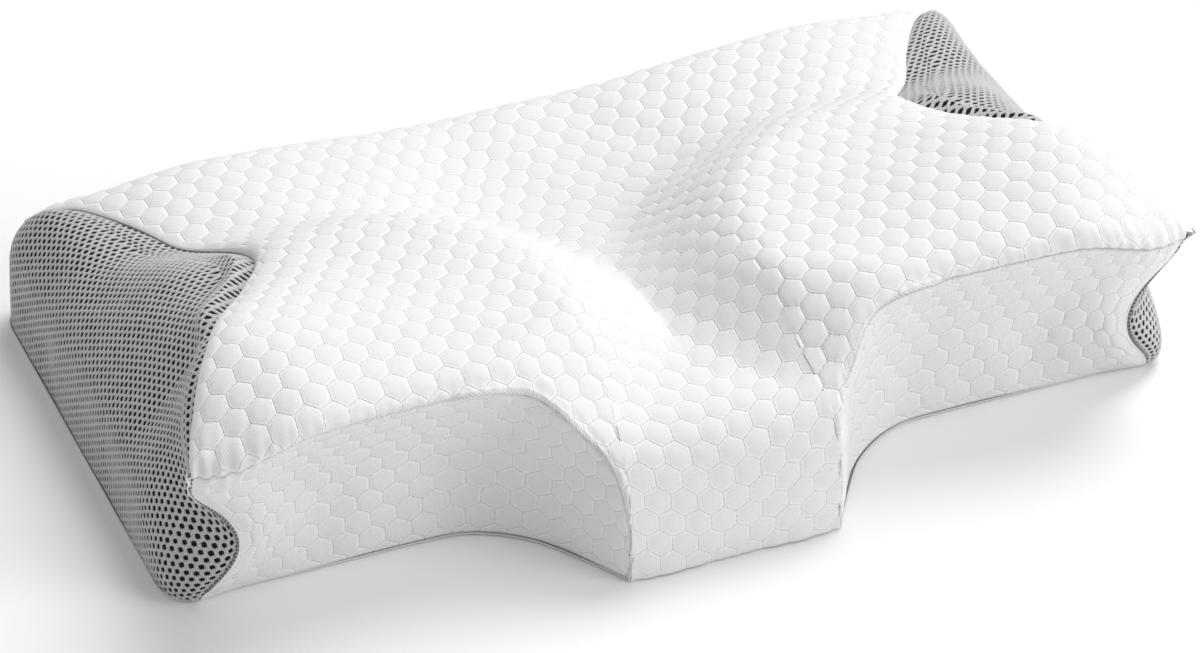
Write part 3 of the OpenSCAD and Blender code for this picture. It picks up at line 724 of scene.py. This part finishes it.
def roll_under(grid, n, radius):
    """Rolls the first row of a grid with normals n under. Returns the new grid, the roll's last points and
    its nose."""
    edge, inner = grid[0], grid[2]
    out = unit(edge - inner)
    m = unit(n[0] - out * np.sum(n[0] * out, -1, keepdims=True))
    rings = []
    for k in range(1, ROLL_STEPS + 1):
        a = ROLL_TURN * k / ROLL_STEPS
        rings.append(edge + radius[:, None] * (math.sin(a) * out - (1 - math.cos(a)) * m))
    return np.concatenate([np.stack(rings[::-1], 0), grid]), rings[-1], rings[ROLL_STEPS // 2]


def turned(grid, right):
    """A grid with its left or right edge as the first row."""
    return np.swapaxes(grid, 0, 1)[::-1] if right else np.swapaxes(grid, 0, 1)


def turned_back(grid, right):
    return np.swapaxes(grid[::-1] if right else grid, 0, 1)


# ---- top panel
gu, gv = np.meshgrid(all_u, all_v)
top = top_point(gu, gv)
top_map = pattern_of_top(top)

# distances to the seams, for the fading of the quilting
to_front = lengths(top, 0)
on_tongue = np.abs(all_u) <= TONGUE + 1e-9
seam_gap = np.minimum(to_ends(top, 1), np.where(on_tongue[None], 60, to_front))
seam_gap = np.minimum(seam_gap, lengths(top[::-1], 0)[::-1])
# the cloth is drawn into puckers along the front seam, deeper near the wings' tips
along_seam = lengths(top[:1], 1)[0]
puckers = np.sin(along_seam * 2 * PI / 8.7 + 1.7 * np.sin(along_seam * 0.11))
near_tip = smooth(0.72, 0.95, np.abs(all_u))
pull = (0.3 + 0.5 * near_tip) * puckers * np.where(on_tongue, 0, 1)
pull = pull[None] * np.exp(-to_front / (6 + 8 * near_tip))
top_n = normals(top)
held = border(top) & ~(on_tongue[None] & (np.arange(len(all_v)) == 0)[:, None])
lift = relax(top, held, 0.15, 0.004, 1.4)
top = top + top_n * (quilt(top_map, seam_gap, 1.3) - 0.5 + pull + lift + ripple(top, 0.6))[..., None]

end_roll = mix(2.4, 3.2, np.sin(PI * np.clip(all_v * 1.6, 0, 1))) * mix(1, 0.25, smooth(0.48, 0.62, all_v))
end_roll = end_roll * smooth(-0.02, 0.05, all_v) * smooth(1.004, 0.97, all_v)
front_roll = np.where(on_tongue, 0.0, mix(1.2, 2.4, smooth(TONGUE, TONGUE + 0.25, np.abs(all_u))))
sides_rolled = top
for right in (False, True):
    edge_first, edge_n = turned(sides_rolled, right), turned(normals(sides_rolled), right)
    edge_first, end_rim, _ = roll_under(edge_first, edge_n, end_roll)
    sides_rolled = turned_back(edge_first, right)
past = vectors(np.arange(1, ROLL_STEPS + 1) * 1.2, 0)[None]
sides_map = np.concatenate([top_map[:, :1] - past[:, ::-1], top_map, top_map[:, -1:] + past], 1)
all_rolled, front_rim, front_nose = roll_under(sides_rolled, normals(sides_rolled),
                                               np.pad(front_roll, ROLL_STEPS, mode="edge"))
past = vectors(0, np.arange(ROLL_STEPS, 0, -1) * 1.0)
cover_map = np.concatenate([sides_map[:1] - past[:, None], sides_map])
# the tongue's front hangs down to the base instead
tongue_columns = np.nonzero(np.pad(on_tongue, ROLL_STEPS))[0]
foot = sides_rolled[0, tongue_columns]
for k in range(ROLL_STEPS):
    z = mix(0.8, foot[:, 2], k / ROLL_STEPS)
    tuck = 2.5 * (1 - np.sqrt(1 - np.clip((3.5 - z) / 3.5, 0, 1) ** 2))
    all_rolled[k, tongue_columns] = vectors(foot[:, 0], foot[:, 1] + tuck, z)
    cover_map[k, tongue_columns, 1] = sides_map[0, tongue_columns, 1] - (foot[:, 2] - z)
cover_top = grid_piece("cover_top", all_rolled, cover_map)

# ---- front panels
past_tongue = np.nonzero(all_u >= TONGUE - 1e-9)[0]
q_front = half_u[half_u >= TONGUE - 1e-9]
q_front = np.unique(np.concatenate([q_front, (q_front[1:] + q_front[:-1])[14:] / 2]))
f_steps = np.linspace(0, 1, 84)
fq, ff = np.meshgrid(q_front, f_steps)


def rim_of(kind, q):
    """How far the top's rolled edge ends from the plain seam, at shares q along it."""
    if kind == "front":
        at = all_u[past_tongue]
        shift = front_rim[ROLL_STEPS:-ROLL_STEPS][past_tongue] - top_point(at, 0 * at)
    else:
        at = all_v
        shift = end_rim - top_point(1 + 0 * at, at)
    return np.stack([np.interp(q, at, shift[:, k]) for k in range(3)], -1)


def tuck_base(p, out, depth=4.0):
    """Rounds a wall's foot inwards over the last few mm."""
    share = np.clip((depth - p[..., 2]) / depth, 0, 1)
    return p - out * (depth * 0.6 * (1 - np.sqrt(1 - share ** 2)))[..., None]


def flat_out(path, q):
    """outward as 3-D vectors."""
    o = outward(path, q)
    return np.concatenate([o, 0 * o[..., :1]], -1)


front = wall_point("front", fq, ff)
front_up = lengths(front, 0)
front_along = lengths(front[:1], 1) + 0 * front_up
front_map = vectors(front_along + 4, front_up)
to_top = front_up[-1:] - front_up
front_n = normals(front)
gap = np.minimum(np.minimum(to_top, to_ends(front, 1)), front_up + 1)
tip_share = smooth(0.72, 0.95, fq)
gather = np.sin(front_along * 2 * PI / 8.2 + 1.1 * np.sin(front_along * 0.13))
gather = (0.35 + 0.6 * tip_share) * (gather * np.exp(-to_top / (7 + 6 * tip_share)))
front_lift = relax(front, border(front), 0.6, 0.01, 1.4, 8.0)
front = front + rim_of("front", q_front)[None] * smooth(9, 0, to_top)[..., None]
relief = quilt(front_map, gap, 1.0) - 0.5 + gather + front_lift + ripple(front, 0.6)
front = front + front_n * relief[..., None]
front = tuck_base(front, flat_out(base_front, fq))
front[0, :, 2] = 0.6
front_right = grid_piece("front_panel_right", front, front_map)
front_left = grid_piece("front_panel_left", mirrored(front), front_map * [-1, 1], flip=True)

# ---- mesh ends
q_end = np.linspace(0, 1, 331)
f_end = 1 - (1 - np.linspace(0, 1, 231)) ** 1.9
eq, ef = np.meshgrid(q_end, f_end)
end = wall_point("end", eq, ef)
end_up = lengths(end, 0)
end_along = lengths(base_end(q_end)[None, :, :] @ np.eye(2, 3), 1)[0]
to_lip = end_up[-1:] - end_up
# a strip beside the seam is drawn tight, and beside the wing a soft ridge follows it
strip = mix(19, 10, smooth(0.05, 0.45, q_end)) * mix(1, 0.6, smooth(0.5, 0.7, q_end))
beside_wing = smooth(0.0, 0.1, q_end) * (1 - smooth(0.5, 0.62, q_end))
ridge = mix(2.4, 6.0, smooth(0.2, 0.5, q_end)) * beside_wing
ridge = ridge * np.exp(-((to_lip - strip) / (0.55 * strip)) ** 2)
end_lift = relax(end, border(end), 0.5, 0.006, 1.2)
end_n = normals(end)
end = end + end_n * (ridge + end_lift + ripple(end, 0.5) * smooth(0, 12, to_lip) - 0.3)[..., None]
rim_share = mix(0.15, 1, smooth(0, 0.07, q_end))[:, None]
near_lip = (1 - np.clip(to_lip / (0.7 * strip), 0, 1)) ** 1.3
end = end + (rim_of("end", q_end) * rim_share)[None] * near_lip[..., None]
end = tuck_base(end, flat_out(base_end, eq))
end_n = normals(end)

# the net: steps between its cells along and up the wall, a cell's corners, and the size of its hole
STEP_S, STEP_T = 3.67, 5.2
reach_s = (STEP_S ** 2 + (STEP_T / 2) ** 2) / (2 * STEP_S)
hexagon = np.array([[reach_s, 0], [STEP_S - reach_s, STEP_T / 2], [reach_s - STEP_S, STEP_T / 2],
                    [-reach_s, 0], [reach_s - STEP_S, -STEP_T / 2], [STEP_S - reach_s, -STEP_T / 2]])
HOLE = np.array([1.42, 1.76])


def on_end(st):
    """Points and normals of the end wall at distances (along, up) on it."""
    s = np.clip(st[..., 0], 0, end_along[-1])
    col = np.interp(s, end_along, np.arange(len(q_end)))
    j = np.minimum(col.astype(int), len(q_end) - 2)
    b = col - j
    height = mix(end_up[-1, j], end_up[-1, j + 1], b)
    t = np.clip(st[..., 1], 0, height)
    row = t / height * (len(f_end) - 1)
    # the rows are not evenly far apart along the surface, so the row is corrected in steps
    for _ in range(3):
        i = np.clip(row.astype(int), 0, len(f_end) - 2)
        a = row - i
        here = between(end_up, i, j, a, b)
        slope = mix(end_up[i + 1, j] - end_up[i, j], end_up[i + 1, j + 1] - end_up[i, j + 1], b)
        row = np.clip(row + (t - here) / np.maximum(slope, 1e-3), 0, len(f_end) - 1.0001)
    i = np.clip(row.astype(int), 0, len(f_end) - 2)
    a, b = (row - i)[..., None], b[..., None]
    return between(end, i, j, a, b), unit(between(end_n, i, j, a, b))


def holed_sheet():
    """The knitted spacer mesh: a net of rounded yarns round open cells with a floor, which the material
    colours near black as painted shade.
    """
    columns = int(end_along[-1] / STEP_S) + 2
    rows = int(end_up[-1].max() / STEP_T) + 2
    centres = np.array([[c * STEP_S, r * STEP_T + (c % 2) * STEP_T / 2] for c in range(columns)
                        for r in range(-1, rows)])
    limit = np.interp(centres[:, 0], end_along, end_up[-1])
    centres = centres[(centres[:, 1] < limit + STEP_T * 0.6) & (centres[:, 1] > -STEP_T)]
    rng = np.random.RandomState(5)
    shift = rng.uniform(-0.12, 0.12, (len(centres), 1, 2))
    ring = centres[:, None] + hexagon[None]
    direction = unit(hexagon)[None]
    size = HOLE * rng.uniform(0.92, 1.06, (len(centres), 1, 1))
    outer = centres[:, None] + shift + direction * size * 1.12
    inner = centres[:, None] + shift + direction * size * 0.84
    # shared corners of the net are joined by their rounded places
    key = np.round(ring.reshape(-1, 2) * 20).astype(np.int64)
    unique, index = np.unique(key, axis=0, return_inverse=True)
    corners = unique / 20.0
    index = index.reshape(-1, 6)
    count = len(centres)
    st = np.concatenate([corners, outer.reshape(-1, 2), inner.reshape(-1, 2), centres + shift[:, 0]])
    # the depths push the points in and also drive the painted shade of the cell floors
    depth = np.concatenate([np.zeros(len(corners)), np.full(count * 6, 0.18), np.full(count * 6, 1.0),
                            np.full(count, 1.15)])
    points, n = on_end(st)
    points = points - n * (depth * 1.35)[:, None]
    a, b, c = len(corners), len(corners) + count * 6, len(corners) + count * 12
    faces = []
    cell = np.arange(count)
    for k in range(6):
        m = (k + 1) % 6
        o, p, i, j = (start + cell * 6 + corner for start in (a, b) for corner in (k, m))
        faces += vectors(index[:, k], index[:, m], p, o).tolist()
        faces += vectors(o, p, j, i).tolist()
        faces += vectors(i, j, c + cell).tolist()
    # faces that are pressed flat past the edges are left out
    kept = [tuple(f) for f in faces
            if np.linalg.norm(np.ptp(points[f], 0)) >= 0.3 and st[f].max(0).min() >= 0]
    return points, kept, st, depth


mesh_points, mesh_faces, mesh_map, mesh_depth = holed_sheet()
mesh_right = new_piece("mesh_end_right", mesh_points, mesh_faces, mesh_map, {"depth": mesh_depth})
mesh_left = new_piece("mesh_end_left", mirrored(mesh_points), [f[::-1] for f in mesh_faces],
                      mesh_map * [-1, 1], {"depth": mesh_depth})

# ---- rear panels and bottom
q_rear = np.linspace(-1, 1, 281)
REAR_FOOT, UNDER_ZIP, OVER_ZIP, REAR_TOP = 0.6, 21.0, 33.2, 84


def rear_band(low, high, count):
    """The rear wall between two heights; a band that ends at REAR_TOP follows the seam there."""
    q, z = np.meshgrid(q_rear, np.linspace(low, high, count))
    lip = top_point(np.abs(q), 1 + 0 * q)[..., 2]
    share = mix(low / lip, 1.0, (z - low) / (high - low)) if high == REAR_TOP else z / lip
    p = wall_point("rear", np.abs(q), share)
    p[..., 0] *= np.where(q < 0, -1, 1)
    return p


def rear_piece(name, low, high, count):
    p = rear_band(low, high, count)
    at_foot = low == REAR_FOOT
    n = -normals(p)
    m = vectors(-p[..., 0], lengths(p, 0) + low)
    gap = np.minimum(lengths(p, 0) + (9 if at_foot else 2), lengths(p[::-1], 0)[::-1] + 2)
    p = p + n * (quilt(m, gap, 0.95) - 0.5 + ripple(p, 0.5))[..., None]
    if at_foot:
        p = tuck_base(p, np.array([0.0, 1, 0]) + 0 * p)
    return grid_piece(name, p, m, flip=True)


rear_upper = rear_piece("rear_panel_upper", OVER_ZIP, REAR_TOP, 34)
rear_lower = rear_piece("rear_panel_lower", REAR_FOOT, UNDER_ZIP, 14)


def base_ring(shrink):
    """The closed outline of the base, drawn in by shrink mm."""
    q = np.linspace(0, 1, 90)
    half = np.concatenate([base_front(q), base_end(q)[1:], base_rear(q[::-1])[1:]])
    n = np.concatenate([outward(base_front, q), outward(base_end, q)[1:], outward(base_rear, q[::-1])[1:]])
    n[:12] = [0, -1]
    n[-90:] = [0, 1]
    ring = half - n * shrink
    return np.concatenate([ring, (ring * [-1, 1])[-2:0:-1]])


def bottom_piece():
    """A rounded edge of rings, each (drawn in by, height), and a flat middle joined across."""
    rings = [(0.0, 2.4), (-0.1, 1.6), (0.6, 0.7), (1.8, 0.15), (4, 0.0), (10, 0.0)]
    n = len(base_ring(0))
    points = np.concatenate([np.concatenate([base_ring(s), np.full((n, 1), z)], 1) for s, z in rings])
    faces = [(a, d, c, b) for a, b, c, d in closed_tube(len(rings), n)[:-2]]
    last = (len(rings) - 1) * n
    for i in range(n // 2):
        a, b = last + i, last + i + 1
        c, d = last + (n - i - 1) % n, last + (n - i) % n
        if i == 0:
            faces.append((a, c, b))
        elif b == c:
            faces.append((a, d, b))
        else:
            faces.append((a, d, c, b))
    return new_piece("bottom_panel", points, faces, points[:, :2])


bottom = bottom_piece()

# ---- welts
def resample(line, step):
    along = lengths(line[:, None], 0)[:, 0]
    t = np.linspace(0, along[-1], int(along[-1] / step) + 1)
    return np.stack([np.interp(t, along, line[:, k]) for k in range(3)], -1)


def eased(line, times):
    """The line with its small kinks taken out."""
    for _ in range(times):
        line = np.concatenate([line[:1], (line[:-2] + 2 * line[1:-1] + line[2:]) / 4, line[-1:]])
    return line


# the front welt lies on the roll's nose, from the tongue's foot to the wing's tip
nose_line = front_nose[ROLL_STEPS:-ROLL_STEPS][past_tongue]
foot_z = np.linspace(1.5, nose_line[0, 2], 30)[:-1]
foot_y = FRONT_Y + 0.6 + 2.5 * np.clip(1 - foot_z / 4, 0, 1) ** 2
rising = vectors(TONGUE_X + 0.4, foot_y, foot_z)
front_line = eased(resample(np.concatenate([rising, nose_line[:-2]]), 1.6), 6)
front_size = 1.15 * smooth(1.0, 0.985, np.linspace(0, 1, len(front_line)))
# the end welt follows the mesh's front corner, and then its lip
corner_line = eased(resample(end[12:-70, 0], 1.6), 6)
lip_line = eased(resample(end[-1, 20:-10] - 0.5 * end_n[-1, 20:-10], 1.6), 6)


def joined_tubes(name, parts):
    """Several tubes as one piece."""
    made = [tube(name + str(k), line, size, wobble=0.08) for k, (line, size) in enumerate(parts)]
    whole = bmesh.new()
    for obj in made:
        whole.from_mesh(obj.data)
    mesh = bpy.data.meshes.new(name)
    whole.to_mesh(mesh)
    whole.free()
    mesh.shade_smooth()
    for obj in made:
        old = obj.data
        bpy.data.objects.remove(obj)
        bpy.data.meshes.remove(old)
    return placed(name, mesh)


def tapered(count, thick, thin, start, stop):
    """Sizes along a line: thick up to start, thin from stop, and thin again at both ends."""
    share = np.linspace(0, 1, count)
    ends = smooth(0, 0.03, share + 0.004), smooth(1.004, 0.97, share)
    return mix(thick, thin, smooth(start, stop, share)) * ends[0] * ends[1]


corner_size = tapered(len(corner_line), 0.9, 0.6, 0.6, 1.0)
lip_size = tapered(len(lip_line), 0.9, 0.25, 0.4, 0.52)
middle = len(all_u) // 2
rear_line = resample(np.concatenate([mirrored(top[-1, middle:])[::-1], top[-1, middle + 1:]]), 1.8)
welts = []
for name, flip in (("front_welt_right", [1, 1, 1]), ("front_welt_left", [-1, 1, 1])):
    welts.append(tube(name, front_line * flip, front_size, wobble=0.06))
for name, flip in (("end_welt_right", [1, 1, 1]), ("end_welt_left", [-1, 1, 1])):
    welts.append(joined_tubes(name, [(corner_line * flip, corner_size), (lip_line * flip, lip_size)]))
welts.append(tube("rear_welt", rear_line + [0, 0.6, 0], 1.2, wobble=0.08))
front_welt_right, front_welt_left, end_welt_right, end_welt_left, rear_welt = welts


# ---- foam and liner
def remeshed(node, voxel):
    """Points, faces and normals of a CAD solid's rounded, evenly meshed copy, in mm."""
    obj = placed("remeshing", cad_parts[node].data.copy())
    even = obj.modifiers.new("even", "REMESH")
    even.mode = "VOXEL"
    even.voxel_size = voxel / 1000
    soft = obj.modifiers.new("soft", "SMOOTH")
    soft.factor = 0.5
    soft.iterations = 3
    shape = obj.evaluated_get(bpy.context.evaluated_depsgraph_get()).to_mesh()
    points = np.empty(len(shape.vertices) * 3, np.float32)
    shape.vertices.foreach_get("co", points)
    n = np.empty(len(shape.vertices) * 3, np.float32)
    shape.vertices.foreach_get("normal", n)
    faces = [tuple(f.vertices) for f in shape.polygons]
    bpy.data.objects.remove(obj)
    return points.reshape(-1, 3) * 1000.0, n.reshape(-1, 3), faces


FOAM_INSET, LINER_INSET, LINER_FLOOR_Z = 2.6, 1.2, 3.4
foam_points, foam_n, foam_faces = remeshed("foam_core", 5)
foam = new_piece("foam_core_block", foam_points - foam_n * FOAM_INSET, foam_faces)


def part_of(name, points, faces, wanted):
    """A piece from the faces whose points are all wanted, without the unused points."""
    kept = [f for f in faces if wanted[list(f)].all()]
    used = np.unique(np.concatenate([np.array(f) for f in kept]))
    place = np.full(len(points), -1)
    place[used] = np.arange(len(used))
    return new_piece(name, points[used], [tuple(int(place[i]) for i in f) for f in kept])


under = (foam_points[:, 2] < 7.5) & (foam_n[:, 2] < -0.6)
liner = part_of("liner_sock", foam_points - foam_n * LINER_INSET, foam_faces, ~under)
rim_under = (foam_points[:, 2] < 9) & (foam_n[:, 2] < -0.3)
floor_points = np.column_stack([foam_points[:, :2], np.full(len(foam_points), LINER_FLOOR_Z)])
liner_floor = part_of("liner_floor", floor_points, foam_faces, rim_under)


# ---- zip and label
ZIP_Z, TEETH_Y, ZIP_HALF = 27.0, 190.2, 275.0


def zip_tape(name, side):
    """A woven tape with a thicker corded edge beside the coil, sewn to the other one past the stops."""
    z = np.array([2.85, 3.0, 3.4, 3.8, 4.4, 5.2, 5.7, 5.75, 5.7, 5.2, 4.4, 3.8, 3.4, 3.0])
    y = np.array([0, 0.28, 0.3, 0.24, 0.2, 0.2, 0.16, 0, -0.16, -0.2, -0.2, -0.24, -0.3, -0.28])
    section = vectors(TEETH_Y + y, ZIP_Z + side * z)[::side]
    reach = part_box("cover_rear_panel_lower")[1][0] * 1000 - 0.4
    xs = np.linspace(-reach, reach, 420)
    points = np.concatenate([np.repeat(xs, len(z))[:, None], np.tile(section, (len(xs), 1))], 1)
    points[:, 1] += 0.08 * np.sin(points[:, 0] * 0.19) * np.sin(points[:, 0] * 0.043 + 1)
    past = smooth(ZIP_HALF + 3.2, ZIP_HALF + 6, np.abs(points[:, 0]))
    inner = 1 - smooth(2.8, 5.0, side * (points[:, 2] - ZIP_Z))
    points[:, 2] -= side * 2.8 * past * inner
    return new_piece(name, points, closed_tube(len(xs), len(z)))


def zip_coil(name, side):
    """One row of teeth: a nylon coil along the tape's edge, pressed a little flat."""
    pitch, sides = 1.7, 12
    turns = np.arange(0, int(2 * ZIP_HALF / pitch) * sides + 1) / sides
    angle = 2 * PI * turns + (0 if side > 0 else PI)
    x = mix(-ZIP_HALF + 0.4, ZIP_HALF - 0.4, turns / turns[-1])
    spoke = vectors(0 * x, np.cos(angle), np.sin(angle))
    line = vectors(x, TEETH_Y + 0.78 * np.cos(angle), ZIP_Z + side * 1.45 + 0.85 * np.sin(angle))
    return tube(name, line, 0.3, sides=6, side=np.cross(spoke, [1.0, 0, 0]))


def softened(name, node, width):
    """A copy of a CAD solid with its sharp edges rounded."""
    shape = bmesh.new()
    shape.from_mesh(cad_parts[node].data)
    bmesh.ops.remove_doubles(shape, verts=shape.verts, dist=1e-6)
    bmesh.ops.dissolve_limit(shape, angle_limit=0.01, verts=shape.verts, edges=shape.edges)
    sharp = [e for e in shape.edges if len(e.link_faces) == 2 and e.calc_face_angle() > 0.7]
    bmesh.ops.bevel(shape, geom=sharp, offset=width / 1000, offset_type="OFFSET", segments=2, profile=0.6,
                    affect="EDGES", clamp_overlap=True)
    bmesh.ops.triangulate(shape, faces=[f for f in shape.faces if len(f.verts) > 4])
    mesh = bpy.data.meshes.new(name)
    shape.to_mesh(mesh)
    shape.free()
    mesh.materials.clear()
    return placed(name, mesh)


def label():
    """A blank label, sewn down along its top and standing off a little below."""
    s, t = np.meshgrid(np.linspace(-17, 17, 35), np.linspace(-7, 7, 15))
    curl = 0.25 * np.sin(s * 0.21 + 0.6) * (0.5 - t / 14) + 0.3 * (0.5 - t / 14) ** 2
    y = REAR_Y + 0.75 + curl
    return grid_piece("blank_label", vectors(-183 + s, y, 11.5 + t), vectors(-s, t), flip=True)


# ---- materials on the pieces
def finish(obj, material, node, body="pillow"):
    """Gives a piece its material; it rides on body and stands for the CAD node, which is hidden."""
    obj.data.materials.clear()
    obj.data.materials.append(material)
    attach(obj, body)
    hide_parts(node)


quilted, knit, holes, jersey = quilted_knit(), plain_knit(), spacer_mesh(), liner_knit()
weave, nylon, metal = tape_weave(), coil_nylon(), cast_nickel()
piping, painted_shade = welt("seam_welt", 2.6, False), welt("dark_welt", 2.4, True)
finish(cover_top, quilted, "cover_top_panel")
for piece in (front_right, front_left):
    finish(piece, quilted, "cover_" + piece.name)
for piece in (mesh_right, mesh_left):
    finish(piece, holes, "cover_" + piece.name)
for piece in (rear_upper, rear_lower):
    finish(piece, quilted, "cover_" + piece.name)
finish(bottom, knit, "cover_bottom_panel")
for piece in welts:
    # the welts along the mesh take the near-black welt of painted shade
    cloth = painted_shade if "end" in piece.name else piping
    finish(piece, cloth, piece.name.replace("welt", "seam_welt"))
finish(foam, memory_foam(), "foam_core")
finish(liner, jersey, "liner_body")
finish(liner_floor, jersey, "liner_base")
levels = (("upper", 1), ("lower", -1))
for level, side in levels:
    finish(zip_tape("tape_" + level, side), weave, "zip_tape_" + level)
for level, side in levels:
    finish(zip_coil("coil_" + level, side), nylon, "zip_teeth_" + level)
for name in ("stop_left", "stop_right"):
    finish(softened(name, "zip_" + name, 0.25), metal, "zip_" + name)
finish(softened("slider_body", "zip_slider", 0.18), metal, "zip_slider", body="slider")
finish(softened("pull_tab_plate", "zip_pull_tab", 0.15), metal, "zip_pull_tab", body="pull_tab")
care = label()
finish(care, satin_label(), "care_label")


# ---- cloth sizes of the soft pieces
def surface_area(obj):
    return sum(f.area for f in obj.data.polygons)


def cut_cloth(width, length, area):
    """Works out a panel of cloth's size in metres, the length stretched to cover its area; width and length
    in mm, area in square metres. The result is not used.
    """
    width, length = width / 1000, length / 1000
    length = max(length, 1.002 * area / width)


cut_cloth(np.ptp(cover_map[..., 0]), np.ptp(cover_map[..., 1]), surface_area(cover_top))
for obj in (front_left, front_right):
    cut_cloth(np.ptp(front_map[..., 0]), np.ptp(front_map[..., 1]), surface_area(obj))
end_flat = float(np.sum(np.diff(end_along) * (end_up[-1, 1:] + end_up[-1, :-1]) / 2)) / 1e6
for obj, edge in ((mesh_left, end_welt_left), (mesh_right, end_welt_right)):
    cut_cloth(end_along[-1], end_up[-1].max(), end_flat)
cut_cloth(2 * BASE_REAR, np.ptp(np.array([v.co.z for v in rear_upper.data.vertices])) * 1000 + 6,
          surface_area(rear_upper))
for obj, width, length, on in ((rear_lower, 2 * BASE_REAR, 21, liner), (bottom, 624, 390, liner_floor),
                               (liner, 1000, 900, foam), (liner_floor, 615, 382, foam)):
    cut_cloth(width, length, surface_area(obj))

# ---- stage and light
floor_mesh = bpy.data.meshes.new("floor")
floor_mesh.from_pydata([(-6, -6, 0), (6, -6, 0), (6, 6, 0), (-6, 6, 0)], [], [(0, 1, 2, 3)])
floor = placed("floor", floor_mesh)
paper = Graph("floor")
spot = paper.noise(paper.node("TexCoord").outputs["Object"], 3.0, 2)
tone = paper.colour(spot, (0.93, 0.93, 0.94), (0.95, 0.95, 0.96))
floor_mesh.materials.append(paper.set(colour=tone, rough=0.6, specular=0.2))

world = bpy.data.worlds.new("world")
world.use_nodes = True
background = world.node_tree.nodes["Background"]
background.inputs["Color"].default_value = (1.0, 1.0, 1.0, 1)
background.inputs["Strength"].default_value = 0.45
bpy.context.scene.world = world


def area_light(name, place, size, power):
    """A round soft light that shines on the pillow."""
    data = bpy.data.lights.new(name, "AREA")
    data.shape = "DISK"
    data.size = size
    data.energy = power
    away = np.array(place, float) - np.array([0, 0, 0.05])
    away /= np.linalg.norm(away)
    side = np.cross([0, 0, 1.0], away)
    side /= np.linalg.norm(side)
    placed(name, data).matrix_world = axes_at(place, side, np.cross(away, side), away)


area_light("key", (2.3, 1.6, 4.4), 3.6, 172)
area_light("front", (2.8, -2.6, 2.2), 2.2, 62)
bpy.context.scene.view_settings.view_transform = "Standard"
bpy.context.scene.view_settings.exposure = 0.03
